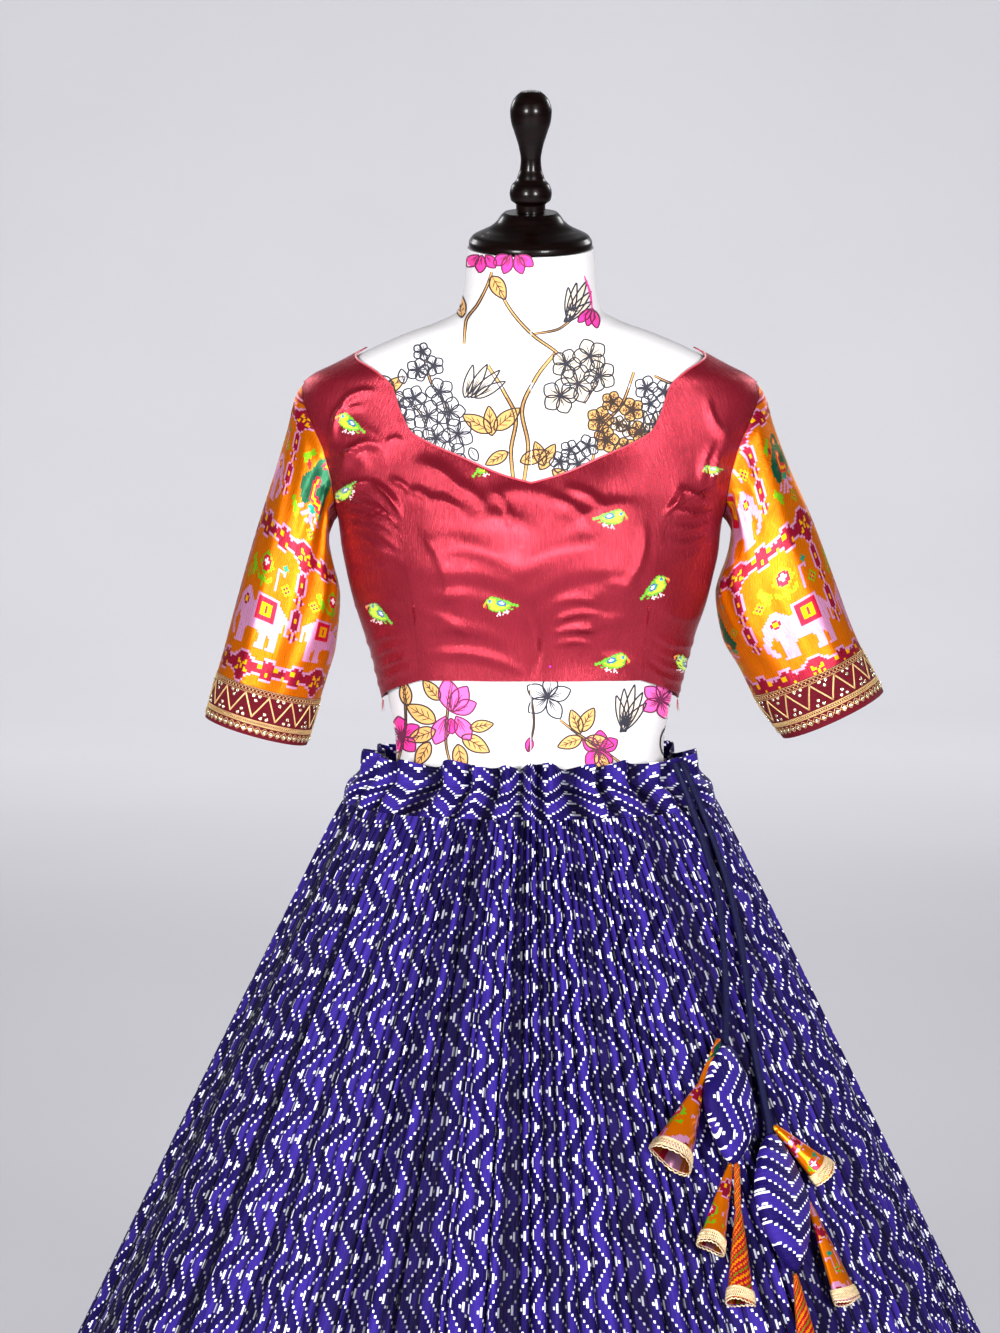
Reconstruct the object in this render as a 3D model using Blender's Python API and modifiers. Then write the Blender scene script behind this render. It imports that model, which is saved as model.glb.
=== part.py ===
"""A lehenga choli on a limbless dress form.

Metres, +Z up. The origin is the middle of the base's underside, the front faces -Y, and +X is the
viewer's right. The tables below are in millimetres; MM turns them into metres.
"""

import math

import bmesh
import bpy
import numpy as np
from mathutils import Matrix, Vector

MM = 0.001
SEAM = 0.3  # the gap left between two pieces at a seam
CLOTH = 1.4  # the wall of the choli and sleeves
SKIRT_CLOTH = 1.5  # the wall of the skirt and its waistband

# The dress form, a row for each level: half its width, its depth in front and behind, and how square it is.
FORM_COLUMNS = ("height", "half_width", "front", "back", "power")
FORM = (
    (800, 158, 100, 112, 2.2),
    (850, 165, 106, 118, 2.2),
    (900, 161, 104, 114, 2.2),
    (950, 147, 97, 102, 2.2),
    (1000, 127, 89, 87, 2.2),
    (1040, 120.5, 84, 79, 2.2),
    (1060, 120.5, 83, 77, 2.2),
    (1100, 126.5, 85, 76, 2.2),
    (1134, 134.5, 90, 78, 2.2),
    (1160, 143, 95, 80, 2.2),
    (1190, 154, 102, 84, 2.2),
    (1210, 159.5, 107, 86, 2.2),
    (1235, 165, 110, 88, 2.2),
    (1265, 169, 108, 91, 2.2),
    (1300, 181, 101, 93, 2.2),
    (1330, 191.5, 91, 91, 2.2),
    (1360, 199.5, 79, 85, 2.2),
    (1375, 201, 73, 80, 2.2),
    (1385, 198.5, 69, 77, 2.2),
    (1390, 193, 68, 75, 2.2),
    (1400, 174, 65, 71, 2.2),
    (1415, 144, 62, 67, 2.2),
    (1430, 110, 60, 64, 2.1),
    (1440, 82, 59, 62, 2.0),
    (1450, 64, 58.5, 61, 2.0),
    (1470, 58.7, 57, 59, 2.0),
    (1505, 55.8, 56, 57, 2.0),
)
BUST_HEIGHT = 1236
BUST_APART = 76  # from the middle to each crown
BUST_RISE = 15
BUST_SPREAD = 44
NECK_FOOT = 1430  # above this the neck leans forward
NECK_TOP = 1505
NECK_LEAN = math.radians(11)
FORM_LEVELS = (800, 808, 860, 930, 1000, 1050, 1100, 1150, 1190, 1215, 1236, 1260, 1290, 1320,
               1345, 1365, 1380, 1390, 1400, 1412, 1425, 1437, 1448, 1470, 1505)
FORM_SIDES = 36
SHOULDER_SPACING = 1.6  # samples lie closer together near the shoulder's ridge
NECK_SPACING = 1.25
# Along the back's outer edge and its neckline: the shares that face each other.
BACK_NECK_SHARES = ((0, 0.07, 0.43, 0.75, 1), (0, 0.05, 0.7, 0.9, 1))

# The neck cap and finial, as turned profiles: radius and height above the neck.
CAP_PROFILE = ((54, 3), (54, 6.5), (51.5, 10), (44, 14), (36, 18), (30, 23), (26, 28.5), (23.5, 31))
CAP_FOOT = ((0, 0.3), (51.5, 0.3))
CAP_TOP = 31
FINIAL_PROFILE = ((12.9, 0.3), (12.9, 6.5), (17.6, 11), (18.6, 16.5), (17, 23.5), (12.2, 29.5), (11.6, 32),
                  (9.6, 38), (8.9, 46), (10.6, 57), (14.6, 70), (17.6, 80), (18.3, 88), (16.6, 96), (12.4, 102),
                  (8.8, 105))

# The stand under the form.
POLE_RADIUS = 15
POLE_SIDES = 12
BASE_SIDES = 28
CAP_SIDES = 24
FINIAL_SIDES = 16
BASE_PROFILE = ((196, 0), (200, 4), (200, 18), (194, 24), (60, 27), (30, 33), (22, 40))
FORM_BOTTOM = 800

# The choli: curves seen from the front, each row a distance from the middle and a height. The back's own
# neckline is deeper; its armhole is the front's, behind the form.
CLEAR = 1.7  # from the form to the cloth, where the choli sits on it
HEM_CLEAR = 5.0  # and at its hem
HEM_CLEAR_FROM = 1225
BETWEEN_CLEAR = 4.0  # more where the cloth bridges the hollow between the busts
BETWEEN_SPREAD = (0.24, 34)  # radians round the form, and height
BETWEEN_BELOW = 8
CROWN_CLEAR = 0.7  # and over each crown
CROWN_TURN = 0.62
CROWN_SPREAD = (0.3, 45)
ARC = 150  # the form's mean radius, which turns an angle into a length
HALF_SEAM = SEAM * 0.6
SLEEVE_SEAM = SEAM * 1.6
BACK_HEM_RISE = 10
NECKLINE = ((144, 1415), (126, 1388), (112, 1358), (104, 1343.5), (90, 1335), (57, 1320.5), (25, 1307),
            (0, 1300))
BACK_NECKLINE = ((144, 1415), (134, 1385), (120, 1350), (98, 1322), (62, 1304), (28, 1298), (0, 1297))
ARMHOLE = ((None, 1385), (196, 1363), (188, 1345), (179.5, 1325), (174, 1305), (171, 1285), (None, 1266))
ARMHOLE_TURN = 90  # a None above is this far round the form, on its side
PRINCESS = ((174, 1305), (134, 1285), (115, 1262), (107, 1238), (102, 1205), (97.5, 1165), (94, 1128))
FRONT_HEM = ((94, 1128), (50, 1129), (0, 1129))
SIDE_HEM_HEIGHT = 1104
NECK_COLUMNS_ARMHOLE = 7  # samples along each stretch of a panel's outer edge, from the shoulder to the middle
NECK_COLUMNS_PRINCESS = 9
NECK_COLUMNS_HEM = 5
SIDE_COLUMNS = 5
SIDE_ROWS = 9
BACK_HEM_COLUMNS = 7
NECK_ROWS = 6

# The sleeves as they stand, seen from the front: outer edge, inner edge, and half the depth.
SLEEVE_COLUMNS = ("outer_x", "outer_z", "inner_x", "inner_z", "half_depth")
SLEEVE_ON_LEFT = (  # at the viewer's left
    (211, 1371, 176.5, 1262, 36),
    (221, 1340, 175, 1249, 38),
    (232, 1302, 173, 1232, 41),
    (248, 1247, 170, 1194, 44),
    (266, 1184, 174, 1150, 46),
    (276, 1147, 182, 1122, 47),
    (281.5, 1128, 188, 1103, 47),
    (292.5, 1087, 201, 1061, 48),
)
SLEEVE_ON_RIGHT = (
    (211, 1372, 176.5, 1262, 36),
    (222, 1343, 175, 1249, 38),
    (235, 1309, 171, 1231, 41),
    (254, 1262, 166, 1197, 43),
    (273, 1212, 172, 1159, 45),
    (290, 1167, 189, 1128, 46),
    (298, 1149, 200, 1106, 47),
    (318, 1110, 228, 1067, 48),
)
SLEEVE_BLEND = (0.1, 0.4, 0.75)  # how far the first rings have turned from the armhole into an oval
BORDER_ROWS = 2  # the last rows of the tables are the embroidered border's

# The waistband, a row for each level from its seam up, with the depth of its puckers.
BAND_COLUMNS = ("height", "half_width", "front", "back", "pucker")
BAND = (
    (1010.5, 168, 121, 125, 2.2),
    (1024, 160, 108, 107, 5.5),
    (1038, 146, 94.4, 89.7, 7.5),
    (1054, 146, 97, 92, 7.5),
)
PUCKERS = 26
PUCKER_COLUMNS = 4
TOP_SCALLOP = 2.5

# The skirt, from the seam with the waistband to the hem.
SKIRT_TOP = 1010
SKIRT_HEM = 24
SKIRT_TOP_OVAL = (168, 121, 125)  # half its width, its depth in front and behind
SKIRT_HEM_OVAL = (652, 640, 640)
PANELS = 4
PANEL_START = 45  # degrees
GATHERS = 144
SKIRT_LEVELS = (1010, 996, 960, 860, 640, 330, 24)
FINE_LEVELS = 3  # the levels that hold two columns a gather; those below hold one
GATHER_DEPTH = ((24, 0.0), (560, 0.0), (740, 1.0), (880, 2.2), (960, 2.6), (996, 2.2), (1010, 1.3))
MEAN_FOLD = 18  # how far the cloth between the main folds stands out at the hem
FOLD_GROWTH = 0.9  # the power by which the folds deepen towards the hem
# The main folds, a row for each valley: how far round it lies, how deep it is at the hem, half its breadth.
FOLD_COLUMNS = ("turn", "depth", "breadth")
FOLDS = (
    (-171, 34, 6.5), (-157, 24, 5.5), (-143, 38, 7), (-127, 27, 6), (-113, 36, 6.5), (-98, 24, 5.5),
    (-84, 34, 6.5), (-70, 28, 6), (-56, 36, 6.5), (-43, 25, 5), (-30, 30, 6), (-15, 42, 6.5),
    (-2, 24, 5), (12, 46, 7), (29, 44, 7), (44, 26, 5.5), (57, 36, 6.5), (72, 27, 6),
    (86, 36, 6.5), (101, 25, 5.5), (116, 37, 7), (131, 26, 5.5), (146, 35, 6.5), (160, 25, 5.5),
)

# The drawstring's two ends: how far across, how high, and how far outside the skirt their middle runs.
CORD_DIAMETER = 6
CORD_POINT_SPACING = 16
CORD_ROUTES = {
    "drawstring_1": ((127, 1052, 3.8), (132, 1040, 3.8), (139, 1022, 3.5), (148, 996, 3.4), (157, 966, 3.4),
                     (164, 935, 3.4), (167, 898, 3.4), (167.5, 866, 3.6), (166.5, 848, 5.5), (165, 828.6, 9.2)),
    "drawstring_2": ((134, 1052, 3.8), (139.5, 1040, 3.8), (147, 1022, 3.6), (157, 996, 3.5), (167, 968, 3.5),
                     (176, 937, 3.5), (183, 900, 3.5), (188, 860, 3.5), (191, 820, 3.6), (197, 784, 4.6),
                     (202, 755.6, 6.9)),
}
# The puffed pouches: their upper and lower corner across and up, how far out their middle is, and their sizes.
POUCHES = {
    "pouch_1": {"top": (165, 828), "foot": (168, 736), "out": 9.2, "half_width": 30, "half_depth": 12},
    "pouch_2": {"top": (202, 755), "foot": (219, 650), "out": 6.9, "half_width": 32, "half_depth": 13},
}
POUCH_CORNERS = 1.15  # 1 would be a straight-sided diamond, 2 an oval
POUCH_SIDES = 12
POUCH_RINGS = 8
# The cones: the pouch's corner that each hangs by, how far aside of and above it the cone starts, where it ends
# across and up, how far out that is, the length of its twisted neck, and its rim's half width.
CONE_COLUMNS = ("pouch", "corner", "aside", "above", "foot_x", "foot_z", "out", "neck", "half_width")
CONES = {
    "cone_1": ("pouch_1", "top", -6.8, 4.6, 115, 748, 11, 46, 23),
    "cone_2": ("pouch_1", "foot", -2.1, 2.6, 147, 680, 10, 6, 14),
    "cone_3": ("pouch_1", "foot", 4.5, 2, 171, 637, 10, 42, 14),
    "cone_4": ("pouch_2", "top", 4.8, 5, 250, 716, 12, 6, 12),
    "cone_5": ("pouch_2", "side", 3.2, 2.6, 264, 622, 10, 6, 13),
    "cone_6": ("pouch_2", "foot", 0, -0.6, 230, 580, 10, 6, 13),
}
CONE_FLATNESS = 0.6
CONE_NECK_RADIUS = 3.2
CONE_TIP = 2  # the height of the tip that each cone hangs by
CONE_FLARE = 0.45  # how far down its flare the cone's half width is given
CONE_HOLLOW = (10, 14)  # how far below the neck the hollow starts and has its full width
CONE_WALL = 1.2
CONE_SIDES = 8
LACE_HEIGHT = 10
LACE_WALL = 1.2
LACE_DROP = 2  # how far the lace reaches below the rim
LACE_CLEAR = 0.6
LACE_LEAN = 0.6  # how much of the cone's slope the lace follows

FABRIC_ROUGHNESS = 0.5
SATIN_ROUGHNESS = 0.35
WOOD_ROUGHNESS = 0.15
SHARP_ANGLE = 50  # degrees; edges that turn more than this are shaded sharp
COLOURS = {
    "choli": (0.40, 0.02, 0.035, 1),
    "sleeve": (0.85, 0.33, 0.03, 1),
    "border": (0.22, 0.02, 0.03, 1),
    "lace": (0.62, 0.46, 0.22, 1),
    "skirt": (0.06, 0.04, 0.30, 1),
    "cord": (0.02, 0.02, 0.09, 1),
    "form": (0.82, 0.80, 0.81, 1),
    "wood": (0.02, 0.008, 0.006, 1),
}


def smooth_column(keys, values, at):
    """Reads a table's column between its rows, smoothly and without overshoot."""
    keys = np.asarray(keys, float)
    values = np.asarray(values, float)
    steps = np.diff(keys)
    slopes = np.diff(values) / steps
    tangents = np.zeros_like(values)
    tangents[0], tangents[-1] = slopes[0], slopes[-1]
    for i in range(1, len(keys) - 1):
        before, after = slopes[i - 1], slopes[i]
        if before * after > 0:
            near, far = 2 * steps[i] + steps[i - 1], steps[i] + 2 * steps[i - 1]
            tangents[i] = (near + far) / (near / before + far / after)
    at = np.clip(np.asarray(at, float), keys[0], keys[-1])
    i = np.clip(np.searchsorted(keys, at, side="right") - 1, 0, len(steps) - 1)
    part = (at - keys[i]) / steps[i]
    start = (1 + 2 * part) * (1 - part) ** 2 * values[i] + part * (1 - part) ** 2 * steps[i] * tangents[i]
    end = part**2 * (3 - 2 * part) * values[i + 1] + part**2 * (part - 1) * steps[i] * tangents[i + 1]
    return start + end


def column(table, columns, name, at):
    """One named column of a table whose first column is its key."""
    rows = sorted(table)
    index = columns.index(name)
    return smooth_column([row[0] for row in rows], [row[index] for row in rows], at)


def rise(value, start, end):
    part = np.clip((np.asarray(value, float) - start) / (end - start), 0, 1)
    return part * part * (3 - 2 * part)


def oval_radius(turn, half_width, front, back, power=2.0):
    """How far an oval's outline lies from its middle; turn is 0 at the front and 90 degrees at +X."""
    depth = np.where(np.cos(turn) > 0, front, back)
    return (np.abs(np.sin(turn) / half_width) ** power + np.abs(np.cos(turn) / depth) ** power) ** (-1 / power)


def form_skin(turn, height):
    """A point on the form's own surface, in millimetres."""
    sizes = [column(FORM, FORM_COLUMNS, name, height) for name in FORM_COLUMNS[1:]]
    radius = oval_radius(turn, *sizes)
    x = radius * np.sin(turn)
    y = -radius * np.cos(turn)
    facing = 1 - (1 - np.clip(np.cos(turn), 0, 1)) ** 3
    for side in (-1, 1):
        away = ((x - side * BUST_APART) ** 2 + (height - BUST_HEIGHT) ** 2) / (2 * BUST_SPREAD**2)
        y = y - BUST_RISE * np.exp(-away) * facing
    lean = NECK_LEAN * rise(height, NECK_FOOT, NECK_TOP - 10)
    z = height + y * np.sin(lean)
    y = y - np.tan(NECK_LEAN) * np.clip(height - NECK_FOOT, 0, None)
    return np.stack([x, y, z], axis=-1)


def form_point(turn, height, out=0.0):
    """A point that far off the form's surface."""
    turn = np.asarray(turn, float)
    height = np.asarray(height, float)
    small_turn, small_height = 1e-3, 0.5
    across = form_skin(turn + small_turn, height) - form_skin(turn - small_turn, height)
    up = form_skin(turn, height + small_height) - form_skin(turn, height - small_height)
    normal = np.cross(across, up)
    normal = normal / np.linalg.norm(normal, axis=-1, keepdims=True)
    return form_skin(turn, height) + normal * np.asarray(out)[..., None]


def turn_of(x, height, behind=False):
    """How far round the form a point lies that is seen at x from the front, or from behind."""
    half_width = column(FORM, FORM_COLUMNS, "half_width", height)
    power = column(FORM, FORM_COLUMNS, "power", height)
    depth = column(FORM, FORM_COLUMNS, "back" if behind else "front", height)
    share = np.clip(np.abs(x) / half_width, 0, 1)
    y = depth * (1 - share**power) ** (1 / power)
    turn = np.arctan2(np.abs(x), -y if behind else y)
    return turn if x >= 0 else -turn


def new_material(name, roughness=FABRIC_ROUGHNESS):
    material = bpy.data.materials.get(name)
    if material is None:
        material = bpy.data.materials.new(name)
        material.use_nodes = True
        shader = material.node_tree.nodes["Principled BSDF"]
        shader.inputs["Base Color"].default_value = COLOURS[name]
        shader.inputs["Roughness"].default_value = roughness
    return material


def finish_mesh(name, mesh, material, collection):
    """An object of its own for a mesh in metres, shaded smooth."""
    mesh.shade_smooth()
    mesh.set_sharp_from_angle(angle=math.radians(SHARP_ANGLE))
    mesh.materials.append(material)
    made = bpy.data.objects.new(name, mesh)
    collection.objects.link(made)
    return made


def split_quad(quad, points, outward):
    """Two triangles, split along the diagonal that stands further out."""
    a, b, c, d = quad
    first = (points[a] + points[c]) @ outward
    second = (points[b] + points[d]) @ outward
    if first >= second:
        return (a, b, c), (a, c, d)
    return (b, c, d), (b, d, a)


def bridge(upper, lower, points, outward):
    """Triangles between two rows of vertices; the lower row may have half the columns of the upper one."""
    faces = []
    if len(upper) == len(lower):
        for i in range(len(upper) - 1):
            quad = (upper[i], lower[i], lower[i + 1], upper[i + 1])
            faces.extend(split_quad(quad, points, outward[list(quad)].sum(axis=0)))
        return faces
    for i in range(len(lower) - 1):
        left, middle, right = upper[2 * i], upper[2 * i + 1], upper[2 * i + 2]
        faces.append((left, lower[i], middle))
        faces.append((middle, lower[i], lower[i + 1]))
        faces.append((middle, lower[i + 1], right))
    return faces


def cloth_wall(name, outer, inner, material, collection, tube=False):
    """A closed wall of cloth between an outer and an inner set of rows, top row first, +turn to the right."""
    outside = np.concatenate([np.asarray(row, float) for row in outer])
    inside = np.concatenate([np.asarray(row, float) for row in inner])
    rows, first = [], 0
    for row in outer:
        numbers = list(range(first, first + len(row)))
        rows.append(numbers + numbers[:1] if tube else numbers)
        first += len(row)
    faces = []
    for upper, lower in zip(rows, rows[1:]):
        faces.extend(bridge(upper, lower, outside, outside - inside))
    count = len(outside)
    faces.extend([tuple(i + count for i in reversed(face)) for face in faces])
    edges = [list(reversed(rows[0])), rows[-1]]
    if not tube:
        edges.append([row[0] for row in rows])
        edges.append([row[-1] for row in reversed(rows)])
    for edge in edges:
        for a, b in zip(edge, edge[1:]):
            faces.append((a, a + count, b + count, b))
    mesh = bpy.data.meshes.new(name)
    points = np.concatenate([outside, inside]) * MM
    mesh.from_pydata([tuple(point) for point in points], [], faces)
    return finish_mesh(name, mesh, material, collection)


def turned(name, profile, sides, material, collection, place):
    """A turned solid: its profile's rows of radius and height, bottom row first, about its own axis."""
    mesh = bpy.data.meshes.new(name)
    rows = [(radius * MM, 0, height * MM) for radius, height in reversed(profile)]
    mesh.from_pydata(rows, [(i, i + 1) for i in range(len(rows) - 1)], [])
    made = bpy.data.objects.new(name, mesh)
    collection.objects.link(made)
    screw = made.modifiers.new("Turn", "SCREW")
    screw.steps = sides
    screw.render_steps = sides
    screw.use_merge_vertices = True
    screw.merge_threshold = 0.00001
    screw.use_smooth_shade = True
    mesh.materials.append(material)
    made.matrix_world = place
    return made


def even_shares(count, spacing=1.0):
    """Shares of a length from 0 to 1; a spacing over 1 brings them closer together at the start."""
    return np.linspace(0, 1, count + 1) ** spacing


def resample(rows, shares):
    """Points at these shares of the length of a smooth curve through a few rows."""
    rows = np.asarray(rows, float)
    along = np.concatenate([[0], np.cumsum(np.linalg.norm(np.diff(rows, axis=0), axis=1))])
    at = shares * along[-1]
    return np.stack([smooth_column(along, rows[:, k], at) for k in range(rows.shape[1])], axis=1)


def on_form(rows, behind=False):
    """Rows seen from the front, as turns and heights on the form's right half."""
    found = []
    for x, height in rows:
        if x is None:
            found.append((math.radians(ARMHOLE_TURN), height))
        else:
            found.append((float(turn_of(x, height, behind)), height))
    return np.array(found)


def scaled(rows):
    """Turns as arc lengths, so that a curve is resampled evenly."""
    return np.asarray(rows, float) * (ARC, 1)


def sampled(rows, shares, behind=False):
    return resample(scaled(on_form(rows, behind)), shares) / (ARC, 1)


def clearance(turn, height):
    """From the form to the choli: close at the shoulders and bust, looser towards the hem."""
    loose = 1 - rise(height, SIDE_HEM_HEIGHT, HEM_CLEAR_FROM)
    round_about, up = BETWEEN_SPREAD
    between = np.exp(-((turn / round_about) ** 2 + ((height - BUST_HEIGHT + BETWEEN_BELOW) / up) ** 2) / 2)
    round_about, up = CROWN_SPREAD
    crown = np.exp(-(((np.abs(turn) - CROWN_TURN) / round_about) ** 2) - ((height - BUST_HEIGHT) / up) ** 2)
    return CLEAR + (HEM_CLEAR - CLEAR) * loose + BETWEEN_CLEAR * between + CROWN_CLEAR * crown


def choli_skins(turns, heights):
    """The outer and inner points of a stretch of the choli."""
    clear = clearance(turns, heights)
    return form_point(turns, heights, clear + CLOTH), form_point(turns, heights, clear)


def between_edges(first, last, rows):
    """Rows of turns and heights that pass evenly from one edge to the other."""
    parts = np.linspace(0, 1, rows + 1)[:, None, None]
    return (1 - parts) * first[None] + parts * last[None]


def hold_back(grid, first=True, last=True):
    """Pulls a panel's edges in, so that it stays half a seam clear of its neighbour."""
    def pull(edge, neighbour):
        step = (neighbour - edge) * (ARC, 1)
        length = np.linalg.norm(step, axis=-1, keepdims=True)
        return edge + (neighbour - edge) * HALF_SEAM / np.maximum(length, 1e-6)

    grid = grid.copy()
    if first:
        grid[0] = pull(grid[0], grid[1])
    if last:
        grid[-1] = pull(grid[-1], grid[-2])
    grid[:, 0] = pull(grid[:, 0], grid[:, 1])
    grid[:, -1] = pull(grid[:, -1], grid[:, -2])
    return grid


def armhole_front(first, last, count, spacing=1.0):
    """The front armhole between two heights, sampled evenly."""
    curve = sampled(ARMHOLE, even_shares(60))
    inside = curve[(curve[:, 1] <= first + 0.01) & (curve[:, 1] >= last - 0.01)]
    start = [[np.interp(-first, -curve[:, 1], curve[:, 0]), first]]
    end = [[np.interp(-last, -curve[:, 1], curve[:, 0]), last]]
    rows = np.concatenate([start, inside[1:-1], end])
    along = np.concatenate([[0], np.cumsum(np.linalg.norm(np.diff(scaled(rows), axis=0), axis=1))])
    at = even_shares(count, spacing) * along[-1]
    return np.stack([np.interp(at, along, rows[:, k]) for k in range(2)], axis=1)


def behind_form(rows):
    """The same heights on the form's back."""
    return np.stack([math.pi - rows[:, 0], rows[:, 1]], axis=1)


ARMHOLE_TOP = ARMHOLE[0][1]
ARMPIT = ARMHOLE[-1][1]
PRINCESS_TOP = PRINCESS[0][1]


def choli_edges():
    """The seams that the choli's panels share, on the right half, each from the top down or outward in."""
    upper = armhole_front(ARMHOLE_TOP, PRINCESS_TOP, NECK_COLUMNS_ARMHOLE, SHOULDER_SPACING)
    lower = armhole_front(PRINCESS_TOP, ARMPIT, SIDE_COLUMNS)
    princess = sampled(PRINCESS, even_shares(NECK_COLUMNS_PRINCESS))
    princess[0] = upper[-1]
    hem = sampled(FRONT_HEM, even_shares(NECK_COLUMNS_HEM))
    hem[0] = princess[-1]
    quarter = math.radians(90)
    side_heights = np.linspace(ARMPIT, SIDE_HEM_HEIGHT, SIDE_ROWS + 1)
    side = np.stack([np.full(SIDE_ROWS + 1, quarter), side_heights], axis=1)
    share = np.linspace(0, 1, SIDE_COLUMNS + 1)[:, None]
    side_hem = (1 - share) * princess[-1] + share * side[-1]
    return {"armhole_upper": upper, "armhole_lower": lower, "princess": princess, "hem": hem, "side": side,
            "side_hem": side_hem}


def build_choli(collection):
    material = new_material("choli", SATIN_ROUGHNESS)
    edges = choli_edges()
    outer_edge = np.concatenate([edges["armhole_upper"], edges["princess"][1:], edges["hem"][1:]])
    neckline = sampled(NECKLINE, even_shares(len(outer_edge) - 1, NECK_SPACING))
    half = between_edges(neckline, outer_edge, NECK_ROWS)
    half[:, -1, 0] = 0
    grid = np.concatenate([half[:, :-1] * (-1, 1), half[:, ::-1]], axis=1)
    grid = hold_back(grid, first=False)
    cloth_wall("choli_front", *choli_skins(grid[..., 0], grid[..., 1]), material, collection)

    for side, name in ((-1, "choli_side_front_left"), (1, "choli_side_front_right")):
        shares = np.linspace(0, 1, SIDE_ROWS + 1)
        princess = edges["princess"]
        rows = []
        for i, share in enumerate(shares):
            across = np.linspace(0, 1, SIDE_COLUMNS + 1)[:, None]
            straight = (1 - across) * princess[i] + across * edges["side"][i]
            top = edges["armhole_lower"] - ((1 - across) * princess[0] + across * edges["side"][0])
            bottom = edges["side_hem"] - ((1 - across) * princess[-1] + across * edges["side"][-1])
            rows.append(straight + (1 - share) * top + share * bottom)
        grid = hold_back(np.array(rows), last=False)
        if side < 0:
            grid = grid[:, ::-1] * (-1, 1)
        cloth_wall(name, *choli_skins(grid[..., 0], grid[..., 1]), material, collection)

    lower = np.concatenate([edges["armhole_upper"], edges["armhole_lower"][1:]])
    quarter = math.radians(90)
    hem_turns = np.linspace(quarter, math.pi, BACK_HEM_COLUMNS + 1)
    hem_heights = SIDE_HEM_HEIGHT + BACK_HEM_RISE * rise(hem_turns, quarter, math.pi)
    back_hem = np.stack([hem_turns, hem_heights], axis=1)
    outer_edge = np.concatenate([behind_form(lower), edges["side"][1:], back_hem[1:]])
    shares = np.interp(even_shares(len(outer_edge) - 1), *BACK_NECK_SHARES)
    back_neck = sampled(BACK_NECKLINE, shares, behind=True)
    for side, name in ((-1, "choli_back_left"), (1, "choli_back_right")):
        grid = between_edges(back_neck, outer_edge, NECK_ROWS)
        grid = hold_back(grid, first=False)
        if side > 0:
            grid = grid[:, ::-1]
            outer, inner = choli_skins(grid[..., 0], grid[..., 1])
        else:
            outer, inner = choli_skins(-grid[..., 0], grid[..., 1])
        cloth_wall(name, outer[:, ::-1], inner[:, ::-1], material, collection)


def armhole_ring():
    """The armhole's outer edge on the right side: over the shoulder, down the front, and up behind."""
    edges = choli_edges()
    front = np.concatenate([edges["armhole_upper"], edges["armhole_lower"][1:]])
    back = behind_form(front)[::-1]
    ring = np.concatenate([front, back[1:-1]])
    return form_point(ring[:, 0], ring[:, 1], clearance(ring[:, 0], ring[:, 1]) + CLOTH)


def toward(points, centre, distance):
    step = centre - points
    return points + step / np.linalg.norm(step, axis=-1, keepdims=True) * distance


def build_sleeves(collection):
    ring = armhole_ring()
    count = len(ring)
    middle = (ring[0] + ring[count // 2]) / 2
    start = toward(ring, middle, SLEEVE_SEAM) + (SEAM, 0, 0)
    angles = np.array([2 * math.pi * i / count for i in range(count)])
    for side, word, table in ((-1, "left", SLEEVE_ON_LEFT), (1, "right", SLEEVE_ON_RIGHT)):
        outer, inner = [start], [toward(start, middle, CLOTH)]
        for number, row in enumerate(table):
            outer_x, outer_z, inner_x, inner_z, half_depth = row
            top = np.array([outer_x, 0, outer_z], float)
            bottom = np.array([inner_x, 0, inner_z], float)
            centre = (top + bottom) / 2
            reach = (top - bottom) / 2
            oval = centre + np.cos(angles)[:, None] * reach
            oval[:, 1] = -np.sin(angles) * half_depth
            if number < len(SLEEVE_BLEND):
                share = SLEEVE_BLEND[number]
                shifted = ring - middle + centre
                oval = (1 - share) * shifted + share * oval
                oval[0] = top
                oval[count // 2] = bottom
            outer.append(oval)
            inner.append(toward(oval, centre, CLOTH))
        outer = np.array(outer)
        inner = np.array(inner)
        if side < 0:
            outer = outer * (-1, 1, 1)
            inner = inner * (-1, 1, 1)
        else:
            outer = outer[:, ::-1]
            inner = inner[:, ::-1]
        cut = len(outer) - BORDER_ROWS
        down = outer[cut] - outer[cut - 1]
        gap = down / np.linalg.norm(down, axis=-1, keepdims=True) * SEAM
        sleeve = outer[: cut + 1], inner[: cut + 1]
        border = outer[cut:].copy(), inner[cut:].copy()
        border[0][0] += gap
        border[1][0] += gap
        cloth_wall("sleeve_" + word, *sleeve, new_material("sleeve", SATIN_ROUGHNESS), collection, tube=True)
        cloth_wall("sleeve_border_" + word, *border, new_material("border"), collection, tube=True)


def build_waistband(collection):
    count = PUCKERS * PUCKER_COLUMNS
    turns = np.linspace(0, 2 * math.pi, count, endpoint=False)
    rows = sorted(BAND, reverse=True)
    outer, inner = [], []
    for height, half_width, front, back, pucker in rows:
        radius = oval_radius(turns, half_width, front, back) + pucker * np.cos(PUCKERS * turns)
        z = np.full(count, float(height))
        if height == rows[0][0]:
            z = z + TOP_SCALLOP * np.cos(PUCKERS * turns)
        for found, distance in ((outer, radius), (inner, radius - SKIRT_CLOTH)):
            found.append(np.stack([distance * np.sin(turns), -distance * np.cos(turns), z], axis=1))
    cloth_wall("waistband", outer, inner, new_material("skirt"), collection, tube=True)


def fold_shift(turn, height):
    """How far the main folds draw the skirt in, a soft valley for each row of the table."""
    degrees = np.degrees(turn)
    grown = np.clip((SKIRT_TOP - height) / (SKIRT_TOP - SKIRT_HEM), 0, 1)
    shift = np.zeros_like(degrees)
    for at, depth, breadth in FOLDS:
        away = (degrees - at + 180) % 360 - 180
        shift = shift + depth * np.exp(-((away / breadth) ** 2))
    return shift * grown**FOLD_GROWTH


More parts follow.
